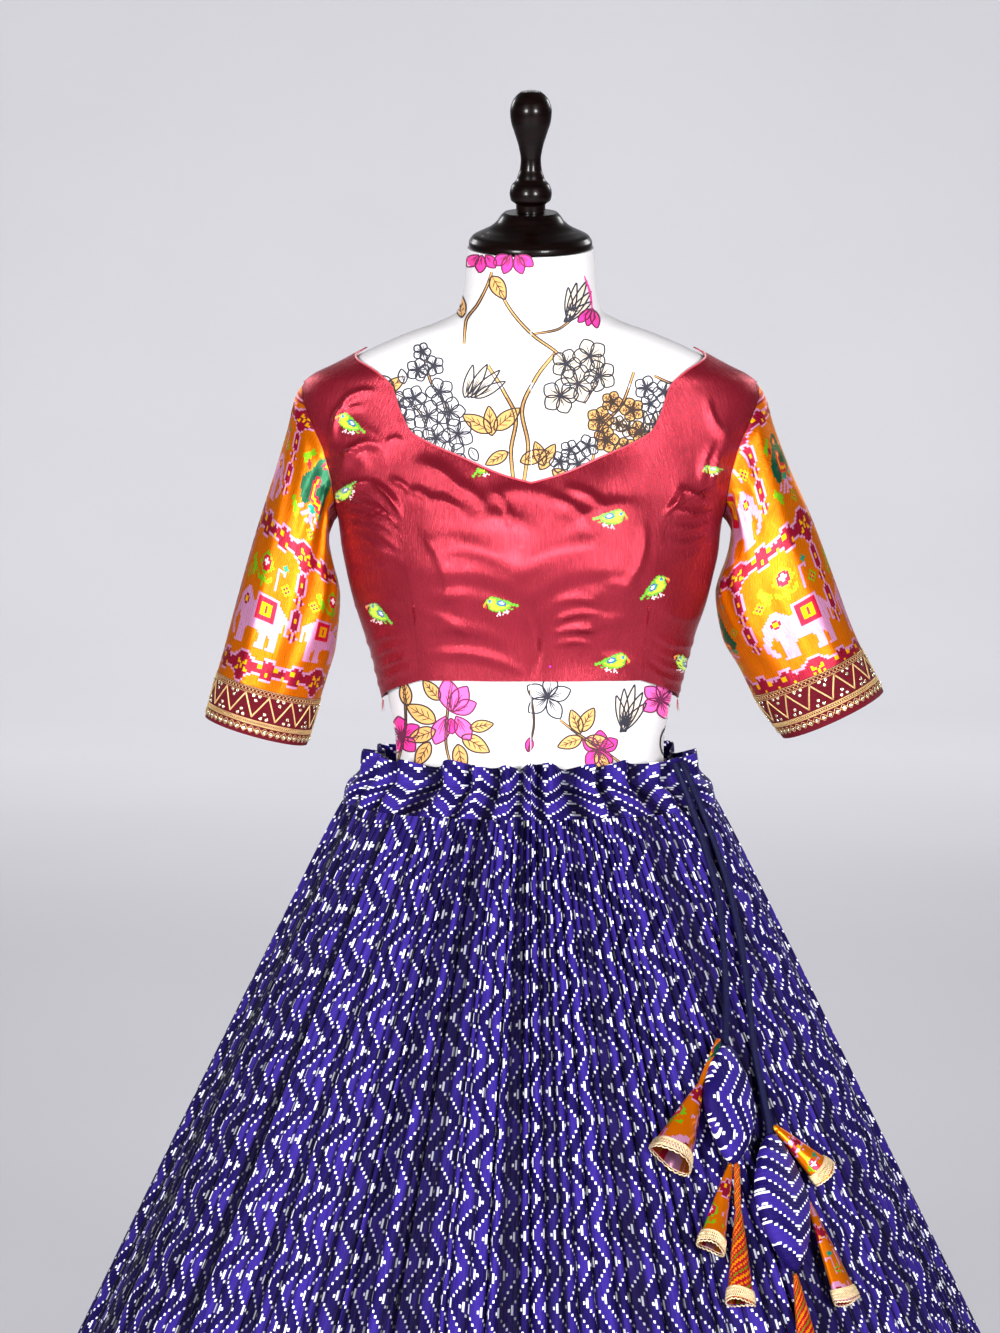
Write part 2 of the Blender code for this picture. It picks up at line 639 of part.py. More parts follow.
def skirt_radius(turn, height):
    grown = (SKIRT_TOP - height) / (SKIRT_TOP - SKIRT_HEM)
    oval = [top + (hem - top) * grown for top, hem in zip(SKIRT_TOP_OVAL, SKIRT_HEM_OVAL)]
    gather = smooth_column([row[0] for row in GATHER_DEPTH], [row[1] for row in GATHER_DEPTH], height)
    mean_fold = MEAN_FOLD * np.clip(grown, 0, 1) ** FOLD_GROWTH
    smooth = oval_radius(turn, *oval) + mean_fold - fold_shift(turn, height)
    return smooth - gather * np.cos(GATHERS * (turn - math.radians(PANEL_START)))


def build_skirt(collection):
    material = new_material("skirt")
    gathers = GATHERS // PANELS
    for panel in range(PANELS):
        start = math.radians(PANEL_START) + panel * 2 * math.pi / PANELS
        outer, inner = [], []
        for number, height in enumerate(SKIRT_LEVELS):
            columns = gathers * 2 if number < FINE_LEVELS else gathers
            turns = start + np.linspace(0, 2 * math.pi / PANELS, columns + 1)
            radius = skirt_radius(turns, float(height))
            turns[0] += HALF_SEAM / radius[0]
            turns[-1] -= HALF_SEAM / radius[-1]
            for found, distance in ((outer, radius), (inner, radius - SKIRT_CLOTH)):
                across = np.stack([distance * np.sin(turns), -distance * np.cos(turns)], axis=1)
                found.append(np.column_stack([across, np.full(len(turns), float(height))]))
        cloth_wall("skirt_panel_%d" % (panel + 1), outer, inner, material, collection)


def outside_radius(turn, height):
    """The outline that the skirt and waistband stay within, which the drawstring hangs against."""
    if height >= SKIRT_TOP:
        sizes = [float(column(BAND, BAND_COLUMNS, name, height)) for name in BAND_COLUMNS[1:]]
        return float(oval_radius(turn, *sizes[:3])) + sizes[3]
    grown = (SKIRT_TOP - height) / (SKIRT_TOP - SKIRT_HEM)
    oval = [top + (hem - top) * grown for top, hem in zip(SKIRT_TOP_OVAL, SKIRT_HEM_OVAL)]
    gather = float(smooth_column([row[0] for row in GATHER_DEPTH], [row[1] for row in GATHER_DEPTH], height))
    return float(oval_radius(turn, *oval)) + MEAN_FOLD * grown**FOLD_GROWTH + gather


def on_skirt(x, height, out):
    """The point seen at x from the front that lies that far outside the skirt's outline."""
    turn = math.radians(45)
    for _ in range(12):
        radius = outside_radius(turn, height) + out
        turn = math.asin(min(1.0, x / radius))
    return Vector((x, -radius * math.cos(turn), height)) * MM


def hung_place(top, foot):
    """A place midway between two points, its Z up along them and its Y into the skirt."""
    up = (top - foot).normalized()
    into = Vector((-top.x, -top.y, 0)).normalized()
    into = (into - up * into.dot(up)).normalized()
    across = into.cross(up)
    turn = Matrix((across, into, up)).transposed().to_4x4()
    return Matrix.Translation((top + foot) / 2) @ turn


def build_cords(collection):
    material = new_material("cord")
    for name, route in CORD_ROUTES.items():
        points = np.array([on_skirt(*row) for row in route])
        length = np.linalg.norm(np.diff(points, axis=0), axis=1).sum()
        points = resample(points, even_shares(round(length / MM / CORD_POINT_SPACING)))
        curve = bpy.data.curves.new(name, "CURVE")
        curve.dimensions = "3D"
        curve.bevel_depth = CORD_DIAMETER / 2 * MM
        curve.bevel_resolution = 2
        curve.use_fill_caps = True
        spline = curve.splines.new("POLY")
        spline.points.add(len(points) - 1)
        for place, point in zip(spline.points, points):
            place.co = (*point, 1)
        curve.materials.append(material)
        collection.objects.link(bpy.data.objects.new(name, curve))


def pouch_frame(name):
    """Where a pouch hangs: its own place and half its height, in metres."""
    pouch = POUCHES[name]
    top = on_skirt(*pouch["top"], pouch["out"])
    foot = on_skirt(*pouch["foot"], pouch["out"])
    return hung_place(top, foot), (top - foot).length / 2


def pouch_corner(name, corner):
    place, half_height = pouch_frame(name)
    aside = POUCHES[name]["half_width"] * MM
    corners = {"top": (0, 0, half_height), "foot": (0, 0, -half_height), "side": (aside, 0, 0)}
    return place @ Vector(corners[corner])


def build_pouches(collection):
    material = new_material("skirt")
    for name, pouch in POUCHES.items():
        place, half_height = pouch_frame(name)
        half_width, half_depth = pouch["half_width"] * MM, pouch["half_depth"] * MM
        shape = bmesh.new()
        bmesh.ops.create_uvsphere(shape, u_segments=POUCH_SIDES, v_segments=POUCH_RINGS, radius=1)
        for vertex in shape.verts:
            x, z, y = vertex.co
            spread = math.hypot(x, z)
            corner = 1
            if spread > 1e-6:
                sides = abs(x / spread) ** POUCH_CORNERS + abs(z / spread) ** POUCH_CORNERS
                corner = sides ** (-1 / POUCH_CORNERS)
            vertex.co = (x * corner * half_width, -y * half_depth, z * corner * half_height)
        mesh = bpy.data.meshes.new(name)
        shape.to_mesh(mesh)
        shape.free()
        made = finish_mesh(name, mesh, material, collection)
        made.matrix_world = place


def build_cones(collection):
    for name, row in CONES.items():
        cone = dict(zip(CONE_COLUMNS, row))
        neck, half_width = cone["neck"], cone["half_width"]
        anchor = pouch_corner(cone["pouch"], cone["corner"])
        beside = Vector((-anchor.y, anchor.x, 0)).normalized() * cone["aside"] * MM
        top = anchor + beside + Vector((0, 0, cone["above"])) * MM
        foot = on_skirt(cone["foot_x"], cone["foot_z"], cone["out"])
        length = (top - foot).length / MM
        place = hung_place(top, foot) @ Matrix.Translation((0, 0, length / 2 * MM))
        place = place @ Matrix.Diagonal((1, CONE_FLATNESS, 1, 1))
        hollow_top, hollow_full = CONE_HOLLOW
        profile = (
            (0, -neck - hollow_top),
            (CONE_NECK_RADIUS, -neck - hollow_full),
            (half_width - CONE_WALL, -length),
            (half_width, -length),
            ((half_width + CONE_NECK_RADIUS) / 2, -neck - (length - neck) * CONE_FLARE),
            (CONE_NECK_RADIUS + 1, -neck - CONE_TIP),
            (CONE_NECK_RADIUS, -CONE_TIP),
            (0, 0),
        )
        turned(name, profile, CONE_SIDES, new_material("sleeve"), collection, place)
        slope = (half_width - CONE_NECK_RADIUS - 1) / (length - neck)
        lower = half_width + LACE_CLEAR
        upper = lower - slope * LACE_HEIGHT * LACE_LEAN
        lace = (
            (lower, -length - LACE_DROP),
            (lower + LACE_WALL, -length - LACE_DROP),
            (upper + LACE_WALL, -length + LACE_HEIGHT),
            (upper, -length + LACE_HEIGHT),
            (lower, -length - LACE_DROP),
        )
        turned(name.replace("cone", "cone_lace"), lace, CONE_SIDES, new_material("lace"), collection, place)


def build_form(collection):
    turns = np.linspace(0, 2 * math.pi, FORM_SIDES, endpoint=False)
    points, faces = [], []
    for height in FORM_LEVELS:
        points.extend(form_skin(turns, np.full(FORM_SIDES, float(height))) * MM)
    # The underside is a little smaller than the level above it, as a rounded edge.
    for i in range(FORM_SIDES):
        points[i] = points[i] * (0.96, 0.96, 1)
    for level in range(len(FORM_LEVELS) - 1):
        for i in range(FORM_SIDES):
            a = level * FORM_SIDES + i
            b = level * FORM_SIDES + (i + 1) % FORM_SIDES
            faces.append((a, b, b + FORM_SIDES, a + FORM_SIDES))
    faces.append(tuple(reversed(range(FORM_SIDES))))
    faces.append(tuple((len(FORM_LEVELS) - 1) * FORM_SIDES + i for i in range(FORM_SIDES)))
    mesh = bpy.data.meshes.new("form_torso")
    mesh.from_pydata([tuple(p) for p in points], [], faces)
    finish_mesh("form_torso", mesh, new_material("form"), collection)


def build_stand(collection):
    wood = new_material("wood", WOOD_ROUGHNESS)
    turns = np.linspace(0, 2 * math.pi, FORM_SIDES, endpoint=False)
    top = form_skin(turns, np.full(FORM_SIDES, float(NECK_TOP))).mean(axis=0) * MM
    place = Matrix.Translation(Vector(top)) @ Matrix.Rotation(NECK_LEAN, 4, "X")
    cap = CAP_FOOT + CAP_PROFILE + ((0, CAP_TOP),)
    turned("neck_cap", cap, CAP_SIDES, wood, collection, place)
    finial = ((0, SEAM),) + FINIAL_PROFILE + ((0, FINIAL_PROFILE[-1][1]),)
    turned("finial", finial, FINIAL_SIDES, wood, collection, place @ Matrix.Translation((0, 0, CAP_TOP * MM)))
    base_top = BASE_PROFILE[-1][1]
    base = ((0, 0),) + BASE_PROFILE + ((0, base_top),)
    turned("base", base, BASE_SIDES, wood, collection, Matrix())
    foot, top = base_top + SEAM, FORM_BOTTOM - SEAM
    pole = ((0, foot), (POLE_RADIUS, foot), (POLE_RADIUS, top), (0, top))
    turned("pole", pole, POLE_SIDES, wood, collection, Matrix())


def clear_scene():
    for thing in list(bpy.data.objects):
        bpy.data.objects.remove(thing)


def main():
    clear_scene()
    collection = bpy.data.collections.new("lehenga_choli")
    bpy.context.scene.collection.children.link(collection)
    build_form(collection)
    build_stand(collection)
    build_choli(collection)
    build_sleeves(collection)
    build_waistband(collection)
    build_skirt(collection)
    build_cords(collection)
    build_pouches(collection)
    build_cones(collection)


main()
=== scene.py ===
"""The looks of a lehenga choli on a dress form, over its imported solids.

Lengths in the tables are millimetres, as in the part's own source; MM turns them into metres. Heights are
above the floor, the front faces -Y, and a turn is 0 at the front and 90 degrees at +X, the viewer's right.
"""

import functools
import math

import bpy
import numpy as np
from mathutils import Matrix, Vector


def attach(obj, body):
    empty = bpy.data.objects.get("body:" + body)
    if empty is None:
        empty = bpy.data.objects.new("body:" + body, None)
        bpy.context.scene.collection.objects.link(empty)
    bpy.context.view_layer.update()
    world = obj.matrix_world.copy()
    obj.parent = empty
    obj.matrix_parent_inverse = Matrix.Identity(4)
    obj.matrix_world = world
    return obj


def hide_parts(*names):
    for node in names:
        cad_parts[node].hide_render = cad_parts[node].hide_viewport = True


MM = 0.001
SEED = 7

# The part's own sizes, repeated from its source.
CLOTH = 1.4
FORM_COLUMNS = ("height", "half_width", "front", "back", "power")
FORM = (
    (800, 158, 100, 112, 2.2),
    (850, 165, 106, 118, 2.2),
    (900, 161, 104, 114, 2.2),
    (950, 147, 97, 102, 2.2),
    (1000, 127, 89, 87, 2.2),
    (1040, 120.5, 84, 79, 2.2),
    (1060, 120.5, 83, 77, 2.2),
    (1100, 126.5, 85, 76, 2.2),
    (1134, 134.5, 90, 78, 2.2),
    (1160, 143, 95, 80, 2.2),
    (1190, 154, 102, 84, 2.2),
    (1210, 159.5, 107, 86, 2.2),
    (1235, 165, 110, 88, 2.2),
    (1265, 169, 108, 91, 2.2),
    (1300, 181, 101, 93, 2.2),
    (1330, 191.5, 91, 91, 2.2),
    (1360, 199.5, 79, 85, 2.2),
    (1375, 201, 73, 80, 2.2),
    (1385, 198.5, 69, 77, 2.2),
    (1390, 193, 68, 75, 2.2),
    (1400, 174, 65, 71, 2.2),
    (1415, 144, 62, 67, 2.2),
    (1430, 110, 60, 64, 2.1),
    (1440, 82, 59, 62, 2.0),
    (1450, 64, 58.5, 61, 2.0),
    (1470, 58.7, 57, 59, 2.0),
    (1505, 55.8, 56, 57, 2.0),
)
FORM_BOTTOM = 800
BUST_HEIGHT = 1236
BUST_APART = 76
BUST_RISE = 15
BUST_SPREAD = 44
NECK_FOOT = 1430
NECK_TOP = 1505
NECK_LEAN = math.radians(11)

CLEAR = 1.7
HEM_CLEAR = 5.0
HEM_CLEAR_FROM = 1225
BETWEEN_CLEAR = 4.0
BETWEEN_SPREAD = (0.24, 34)
BETWEEN_BELOW = 8
CROWN_CLEAR = 0.7
CROWN_TURN = 0.62
CROWN_SPREAD = (0.3, 45)
ARC = 150
NECKLINE = ((144, 1415), (126, 1388), (112, 1358), (104, 1343.5), (90, 1335), (57, 1320.5), (25, 1307),
            (0, 1300))
BACK_NECKLINE = ((144, 1415), (134, 1385), (120, 1350), (98, 1322), (62, 1304), (28, 1298), (0, 1297))
BACK_NECK_SHARES = ((0, 0.07, 0.43, 0.75, 1), (0, 0.05, 0.7, 0.9, 1))
ARMHOLE = ((None, 1385), (196, 1363), (188, 1345), (179.5, 1325), (174, 1305), (171, 1285), (None, 1266))
ARMHOLE_TURN = 90
PRINCESS = ((174, 1305), (134, 1285), (115, 1262), (107, 1238), (102, 1205), (97.5, 1165), (94, 1128))
FRONT_HEM = ((94, 1128), (50, 1129), (0, 1129))
SIDE_HEM_HEIGHT = 1104
BACK_HEM_RISE = 10
HALF_SEAM = 0.18
SLEEVE_SEAM = 0.48
SEAM = 0.3

SLEEVE_ON_LEFT = (
    (211, 1371, 176.5, 1262, 36),
    (221, 1340, 175, 1249, 38),
    (232, 1302, 173, 1232, 41),
    (248, 1247, 170, 1194, 44),
    (266, 1184, 174, 1150, 46),
    (276, 1147, 182, 1122, 47),
    (281.5, 1128, 188, 1103, 47),
    (292.5, 1087, 201, 1061, 48),
)
SLEEVE_ON_RIGHT = (
    (211, 1372, 176.5, 1262, 36),
    (222, 1343, 175, 1249, 38),
    (235, 1309, 171, 1231, 41),
    (254, 1262, 166, 1197, 43),
    (273, 1212, 172, 1159, 45),
    (290, 1167, 189, 1128, 46),
    (298, 1149, 200, 1106, 47),
    (318, 1110, 228, 1067, 48),
)
SLEEVE_BLEND = (0.1, 0.4, 0.75)
BORDER_ROWS = 2

BAND_COLUMNS = ("height", "half_width", "front", "back", "pucker")
BAND = (
    (1010.5, 168, 121, 125, 2.2),
    (1024, 160, 108, 107, 5.5),
    (1038, 146, 94.4, 89.7, 7.5),
    (1054, 146, 97, 92, 7.5),
)
PUCKERS = 26
TOP_SCALLOP = 2.5
SKIRT_TOP = 1010
SKIRT_HEM = 24
SKIRT_TOP_OVAL = (168, 121, 125)
SKIRT_HEM_OVAL = (652, 640, 640)
PANELS = 4
PANEL_START = math.radians(45)
GATHERS = 144
GATHER_DEPTH = ((24, 0.0), (560, 0.0), (740, 1.0), (880, 2.2), (960, 2.6), (996, 2.2), (1010, 1.3))
MEAN_FOLD = 18
FOLD_GROWTH = 0.9
FOLDS = (
    (-171, 34, 6.5), (-157, 24, 5.5), (-143, 38, 7), (-127, 27, 6), (-113, 36, 6.5), (-98, 24, 5.5),
    (-84, 34, 6.5), (-70, 28, 6), (-56, 36, 6.5), (-43, 25, 5), (-30, 30, 6), (-15, 42, 6.5),
    (-2, 24, 5), (12, 46, 7), (29, 44, 7), (44, 26, 5.5), (57, 36, 6.5), (72, 27, 6),
    (86, 36, 6.5), (101, 25, 5.5), (116, 37, 7), (131, 26, 5.5), (146, 35, 6.5), (160, 25, 5.5),
)

CORD_DIAMETER = 6
CORD_ROUTES = {
    "drawstring_1": ((127, 1052, 3.8), (132, 1040, 3.8), (139, 1022, 3.5), (148, 996, 3.4), (157, 966, 3.4),
                     (164, 935, 3.4), (167, 898, 3.4), (167.5, 866, 3.6), (166.5, 848, 5.5),
                     (165, 828.6, 9.2)),
    "drawstring_2": ((134, 1052, 3.8), (139.5, 1040, 3.8), (147, 1022, 3.6), (157, 996, 3.5), (167, 968, 3.5),
                     (176, 937, 3.5), (183, 900, 3.5), (188, 860, 3.5), (191, 820, 3.6), (197, 784, 4.6),
                     (202, 755.6, 6.9)),
}
POUCHES = {
    "pouch_1": {"top": (165, 828), "foot": (168, 736), "out": 9.2, "half_width": 30, "half_depth": 12},
    "pouch_2": {"top": (202, 755), "foot": (219, 650), "out": 6.9, "half_width": 32, "half_depth": 13},
}
CONE_COLUMNS = ("pouch", "corner", "aside", "above", "foot_x", "foot_z", "out", "neck", "half_width")
CONES = {
    "cone_1": ("pouch_1", "top", -6.8, 4.6, 115, 748, 11, 46, 23),
    "cone_2": ("pouch_1", "foot", -2.1, 2.6, 147, 680, 10, 6, 14),
    "cone_3": ("pouch_1", "foot", 4.5, 2, 171, 637, 10, 42, 14),
    "cone_4": ("pouch_2", "top", 4.8, 5, 250, 716, 12, 6, 12),
    "cone_5": ("pouch_2", "side", 3.2, 2.6, 264, 622, 10, 6, 13),
    "cone_6": ("pouch_2", "foot", 0, -0.6, 230, 580, 10, 6, 13),
}
CONE_FLATNESS = 0.6
CONE_NECK_RADIUS = 3.2
LACE_HEIGHT = 10

CAP_PROFILE = ((54, 3), (54, 6.5), (51.5, 10), (44, 14), (36, 18), (30, 23), (26, 28.5), (23.5, 31))
FINIAL_PROFILE = ((12.9, 0.3), (12.9, 6.5), (17.6, 11), (18.6, 16.5), (17, 23.5), (12.2, 29.5), (11.6, 32),
                  (9.6, 38), (8.9, 46), (10.6, 57), (14.6, 70), (17.6, 80), (18.3, 88), (16.6, 96),
                  (12.4, 102), (8.8, 105))
CAP_TOP = 31
POLE_RADIUS = 15
BASE_PROFILE = ((196, 0), (200, 4), (200, 18), (194, 24), (60, 27), (30, 33), (22, 40))

# The photograph's camera.
CAMERA_PLACE = (-0.027, -2.8, 1.42)
CAMERA_DOWN = math.radians(5.885)
CAMERA_LENS = 112.6
SENSOR = 36


def smooth_column(keys, values, at):
    """Reads a table's column, or several side by side, between its rows, smoothly and without overshoot."""
    keys = np.asarray(keys, float)
    values = np.asarray(values, float)
    wide = (len(keys),) + (1,) * (values.ndim - 1)
    steps = np.diff(keys).reshape((len(keys) - 1,) + wide[1:])
    slopes = np.diff(values, axis=0) / steps
    tangents = np.zeros_like(values)
    tangents[0], tangents[-1] = slopes[0], slopes[-1]
    before, after = slopes[:-1], slopes[1:]
    near, far = 2 * steps[1:] + steps[:-1], steps[1:] + 2 * steps[:-1]
    same = before * after > 0
    safe_before, safe_after = np.where(same, before, 1), np.where(same, after, 1)
    tangents[1:-1] = np.where(same, (near + far) / (near / safe_before + far / safe_after), 0)
    at = np.clip(np.asarray(at, float), keys[0], keys[-1])
    i = np.clip(np.searchsorted(keys, at, side="right") - 1, 0, len(keys) - 2)
    part = ((at - keys[i]) / np.diff(keys)[i]).reshape(at.shape + wide[1:])
    step = np.diff(keys)[i].reshape(at.shape + wide[1:])
    start = (1 + 2 * part) * (1 - part) ** 2 * values[i] + part * (1 - part) ** 2 * step * tangents[i]
    end = part**2 * (3 - 2 * part) * values[i + 1] + part**2 * (part - 1) * step * tangents[i + 1]
    return start + end


def unit(vectors):
    return vectors / np.maximum(np.linalg.norm(vectors, axis=-1, keepdims=True), 1e-9)


def circle(count):
    """Even turns round a circle, from 0."""
    return np.linspace(0, 2 * math.pi, count, endpoint=False)


def round_points(radius, turn, height):
    """Points about the upright axis."""
    return np.stack(np.broadcast_arrays(radius * np.sin(turn), -radius * np.cos(turn), height), axis=-1)


def lengths_along(points):
    """How far along a path, or down each column of a grid, its points lie."""
    steps = np.linalg.norm(np.diff(points, axis=0), axis=-1)
    return np.concatenate([np.zeros_like(steps[:1]), np.cumsum(steps, axis=0)])


def rows_apart(grid):
    """How far down a grid its rows lie, on average."""
    steps = np.linalg.norm(np.diff(grid, axis=0), axis=-1).mean(axis=1)
    return np.concatenate([[0], np.cumsum(steps)])


def path_length(points):
    return float(np.linalg.norm(np.diff(points, axis=0), axis=1).sum())


def column(table, columns, name, at):
    rows = sorted(table)
    index = columns.index(name)
    return smooth_column([row[0] for row in rows], [row[index] for row in rows], at)


def rise(value, start, end):
    part = np.clip((np.asarray(value, float) - start) / (end - start), 0, 1)
    return part * part * (3 - 2 * part)


def oval_radius(turn, half_width, front, back, power=2.0):
    depth = np.where(np.cos(turn) > 0, front, back)
    across = np.abs(np.sin(turn) / half_width) ** power
    return (across + np.abs(np.cos(turn) / depth) ** power) ** (-1 / power)


def form_skin(turn, height):
    sizes = [column(FORM, FORM_COLUMNS, name, height) for name in FORM_COLUMNS[1:]]
    radius = oval_radius(turn, *sizes)
    x = radius * np.sin(turn)
    y = -radius * np.cos(turn)
    facing = 1 - (1 - np.clip(np.cos(turn), 0, 1)) ** 3
    for side in (-1, 1):
        away = ((x - side * BUST_APART) ** 2 + (height - BUST_HEIGHT) ** 2) / (2 * BUST_SPREAD**2)
        y = y - BUST_RISE * np.exp(-away) * facing
    lean = NECK_LEAN * rise(height, NECK_FOOT, NECK_TOP - 10)
    z = height + y * np.sin(lean)
    y = y - np.tan(NECK_LEAN) * np.clip(height - NECK_FOOT, 0, None)
    return np.stack([x, y, z], axis=-1)


def form_point(turn, height, out=0.0):
    """A point that far off the form's surface."""
    turn = np.asarray(turn, float)
    height = np.asarray(height, float)
    small_turn, small_height = 1e-3, 0.5
    across = form_skin(turn + small_turn, height) - form_skin(turn - small_turn, height)
    up = form_skin(turn, height + small_height) - form_skin(turn, height - small_height)
    normal = np.cross(across, up)
    normal = normal / np.linalg.norm(normal, axis=-1, keepdims=True)
    return form_skin(turn, height) + normal * np.asarray(out)[..., None]


def turn_of(x, height, behind=False):
    half_width = column(FORM, FORM_COLUMNS, "half_width", height)
    power = column(FORM, FORM_COLUMNS, "power", height)
    depth = column(FORM, FORM_COLUMNS, "back" if behind else "front", height)
    share = np.clip(np.abs(x) / half_width, 0, 1)
    y = depth * (1 - share**power) ** (1 / power)
    turn = np.arctan2(np.abs(x), -y if behind else y)
    return np.where(x >= 0, turn, -turn)


def even_shares(count, spacing=1.0):
    return np.linspace(0, 1, count + 1) ** spacing


def resample(rows, shares):
    """Points at these shares of the length of a smooth curve through a few rows."""
    rows = np.asarray(rows, float)
    along = lengths_along(rows)
    return smooth_column(along, rows, shares * along[-1])


def on_form(rows, behind=False):
    found = []
    for x, height in rows:
        turn = math.radians(ARMHOLE_TURN) if x is None else float(turn_of(x, height, behind))
        found.append((turn, height))
    return np.array(found)


def sampled(rows, shares, behind=False):
    return resample(on_form(rows, behind) * (ARC, 1), shares) / (ARC, 1)


def grid_normals(points, closed):
    """The outward normals of a grid whose rows run down and whose columns run to the right."""
    if closed:
        wide = np.concatenate([points[:, -1:], points, points[:, :1]], axis=1)
        across = wide[:, 2:] - wide[:, :-2]
    else:
        across = np.gradient(points, axis=1)
    return unit(np.cross(np.gradient(points, axis=0), across))


def new_mesh(name, points, faces):
    """A smooth-shaded mesh from points in millimetres and an array of faces that all have as many corners."""
    mesh = bpy.data.meshes.new(name)
    points = np.asarray(points, float).reshape(-1, 3) * MM
    faces = np.asarray(faces, np.int32)
    mesh.vertices.add(len(points))
    mesh.vertices.foreach_set("co", points.ravel())
    mesh.loops.add(faces.size)
    mesh.loops.foreach_set("vertex_index", faces.ravel())
    mesh.polygons.add(len(faces))
    mesh.polygons.foreach_set("loop_start", np.arange(0, faces.size, faces.shape[1], dtype=np.int32))
    mesh.polygons.foreach_set("use_smooth", np.full(len(faces), True))
    mesh.update(calc_edges=True)
    mesh.validate()
    return mesh


def add_uv(mesh, corners):
    layer = mesh.uv_layers.new(name="cloth")
    layer.data.foreach_set("uv", np.asarray(corners, np.float32).reshape(-1))


def add_colours(mesh, corners):
    """Linear colours for each face corner, from an array of as many rows."""
    layer = mesh.color_attributes.new("chart", "FLOAT_COLOR", "CORNER")
    rgba = np.ones((len(mesh.loops), 4), np.float32)
    rgba[:, :3] = np.asarray(corners, np.float32).reshape(-1, 3)
    layer.data.foreach_set("color", rgba.ravel())


def add_object(name, data):
    made = bpy.data.objects.new(name, data)
    bpy.context.scene.collection.objects.link(made)
    return made


def add_piece(name, mesh, material, replaces=()):
    """An object that rides on the part's one body and stands for the CAD nodes named."""
    mesh.materials.append(material)
    made = add_object(name, mesh)
    if replaces:
        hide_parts(*replaces)
    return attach(made, "root")


def quads(rows, columns, closed):
    down = np.arange(rows - 1)[:, None]
    right = np.arange(columns if closed else columns - 1)[None]
    a = down * columns + right
    b = down * columns + (right + 1) % columns
    return np.stack([a, a + columns, b + columns, b], axis=-1)


def corner_values(values, closed):
    """Values at a grid's points, as values at its quads' corners."""
    values = np.asarray(values, float)
    if closed:
        values = np.concatenate([values, values[:, :1]], axis=1)
    return np.stack([values[:-1, :-1], values[1:, :-1], values[1:, 1:], values[:-1, 1:]], axis=2)


def shell(name, outer, thickness, material, replaces=(), closed=False, uv=None, corner_uv=None,
          colours=None, inner=None, inner_step=1, inner_shade=1):
    """A thin closed wall under a grid of outer points, with its own UVs in metres and its colours.

    The inside of a closed grid may keep only some of the rows, one at each step.
    """
    rows, columns = outer.shape[:2]
    if inner is None:
        inner = outer - grid_normals(outer, closed) * thickness
    kept = np.unique(np.append(np.arange(0, rows, inner_step), rows - 1))
    inner = inner[kept]
    count = rows * columns
    to_last = (len(kept) - rows) * columns
    face = quads(rows, columns, closed)
    inner_face = quads(len(kept), columns, closed)
    if corner_uv is None and uv is not None:
        if closed:
            seam = uv[:, :1] + (uv[:, -1:] - uv[:, -2:-1]) + (uv[:, -1:] - uv[:, :1])
            corner_uv = corner_values(np.concatenate([uv, seam], axis=1), False)
        else:
            corner_uv = corner_values(uv, False)
    all_faces = [face.reshape(-1, 4), inner_face[..., ::-1].reshape(-1, 4) + count]
    strips = [(face[0][:, [3, 0]], [3, 0], (0, slice(None)), 0),
              (face[-1][:, [1, 2]], [1, 2], (-1, slice(None)), to_last)]
    if not closed:
        strips.append((face[:, 0][:, [0, 1]], [0, 1], (slice(None), 0), 0))
        strips.append((face[:, -1][:, [2, 3]], [2, 3], (slice(None), -1), 0))
    for edge, _, _, shift in strips:
        inside = edge + count + shift
        all_faces.append(np.stack([edge[:, 1], edge[:, 0], inside[:, 0], inside[:, 1]], axis=1))
    points = np.concatenate([outer.reshape(-1, 3), inner.reshape(-1, 3)])
    mesh = new_mesh(name, points, np.concatenate(all_faces))

    def spread(corners):
        upper, lower = corners[kept[:-1]], corners[kept[1:] - 1]
        under = np.stack([upper[:, :, 3], lower[:, :, 2], lower[:, :, 1], upper[:, :, 0]], axis=2)
        parts = [corners.reshape(-1, 4, corners.shape[-1]), under.reshape(-1, 4, corners.shape[-1])]
        for _, pick, where, _ in strips:
            chosen = corners[where][:, pick]
            parts.append(np.stack([chosen[:, 1], chosen[:, 0], chosen[:, 0], chosen[:, 1]], axis=1))
        return np.concatenate(parts)

    if corner_uv is not None:
        add_uv(mesh, spread(corner_uv))
    if colours is not None:
        tone = spread(np.repeat(colours[:, :, None], 4, axis=2))
        # Painted shade: the inside faces' colours are darkened by inner_shade.
        tone[face[..., 0].size:][:inner_face[..., 0].size] *= inner_shade
        add_colours(mesh, tone)
    mesh.set_sharp_from_angle(angle=math.radians(60))
    return add_piece(name, mesh, material, replaces)


def linear(*srgb):
    """A screen colour of 0 to 255 as linear values."""
    found = []
    for value in srgb:
        value = value / 255
        found.append(value / 12.92 if value <= 0.04045 else ((value + 0.055) / 1.055) ** 2.4)
    return tuple(found)


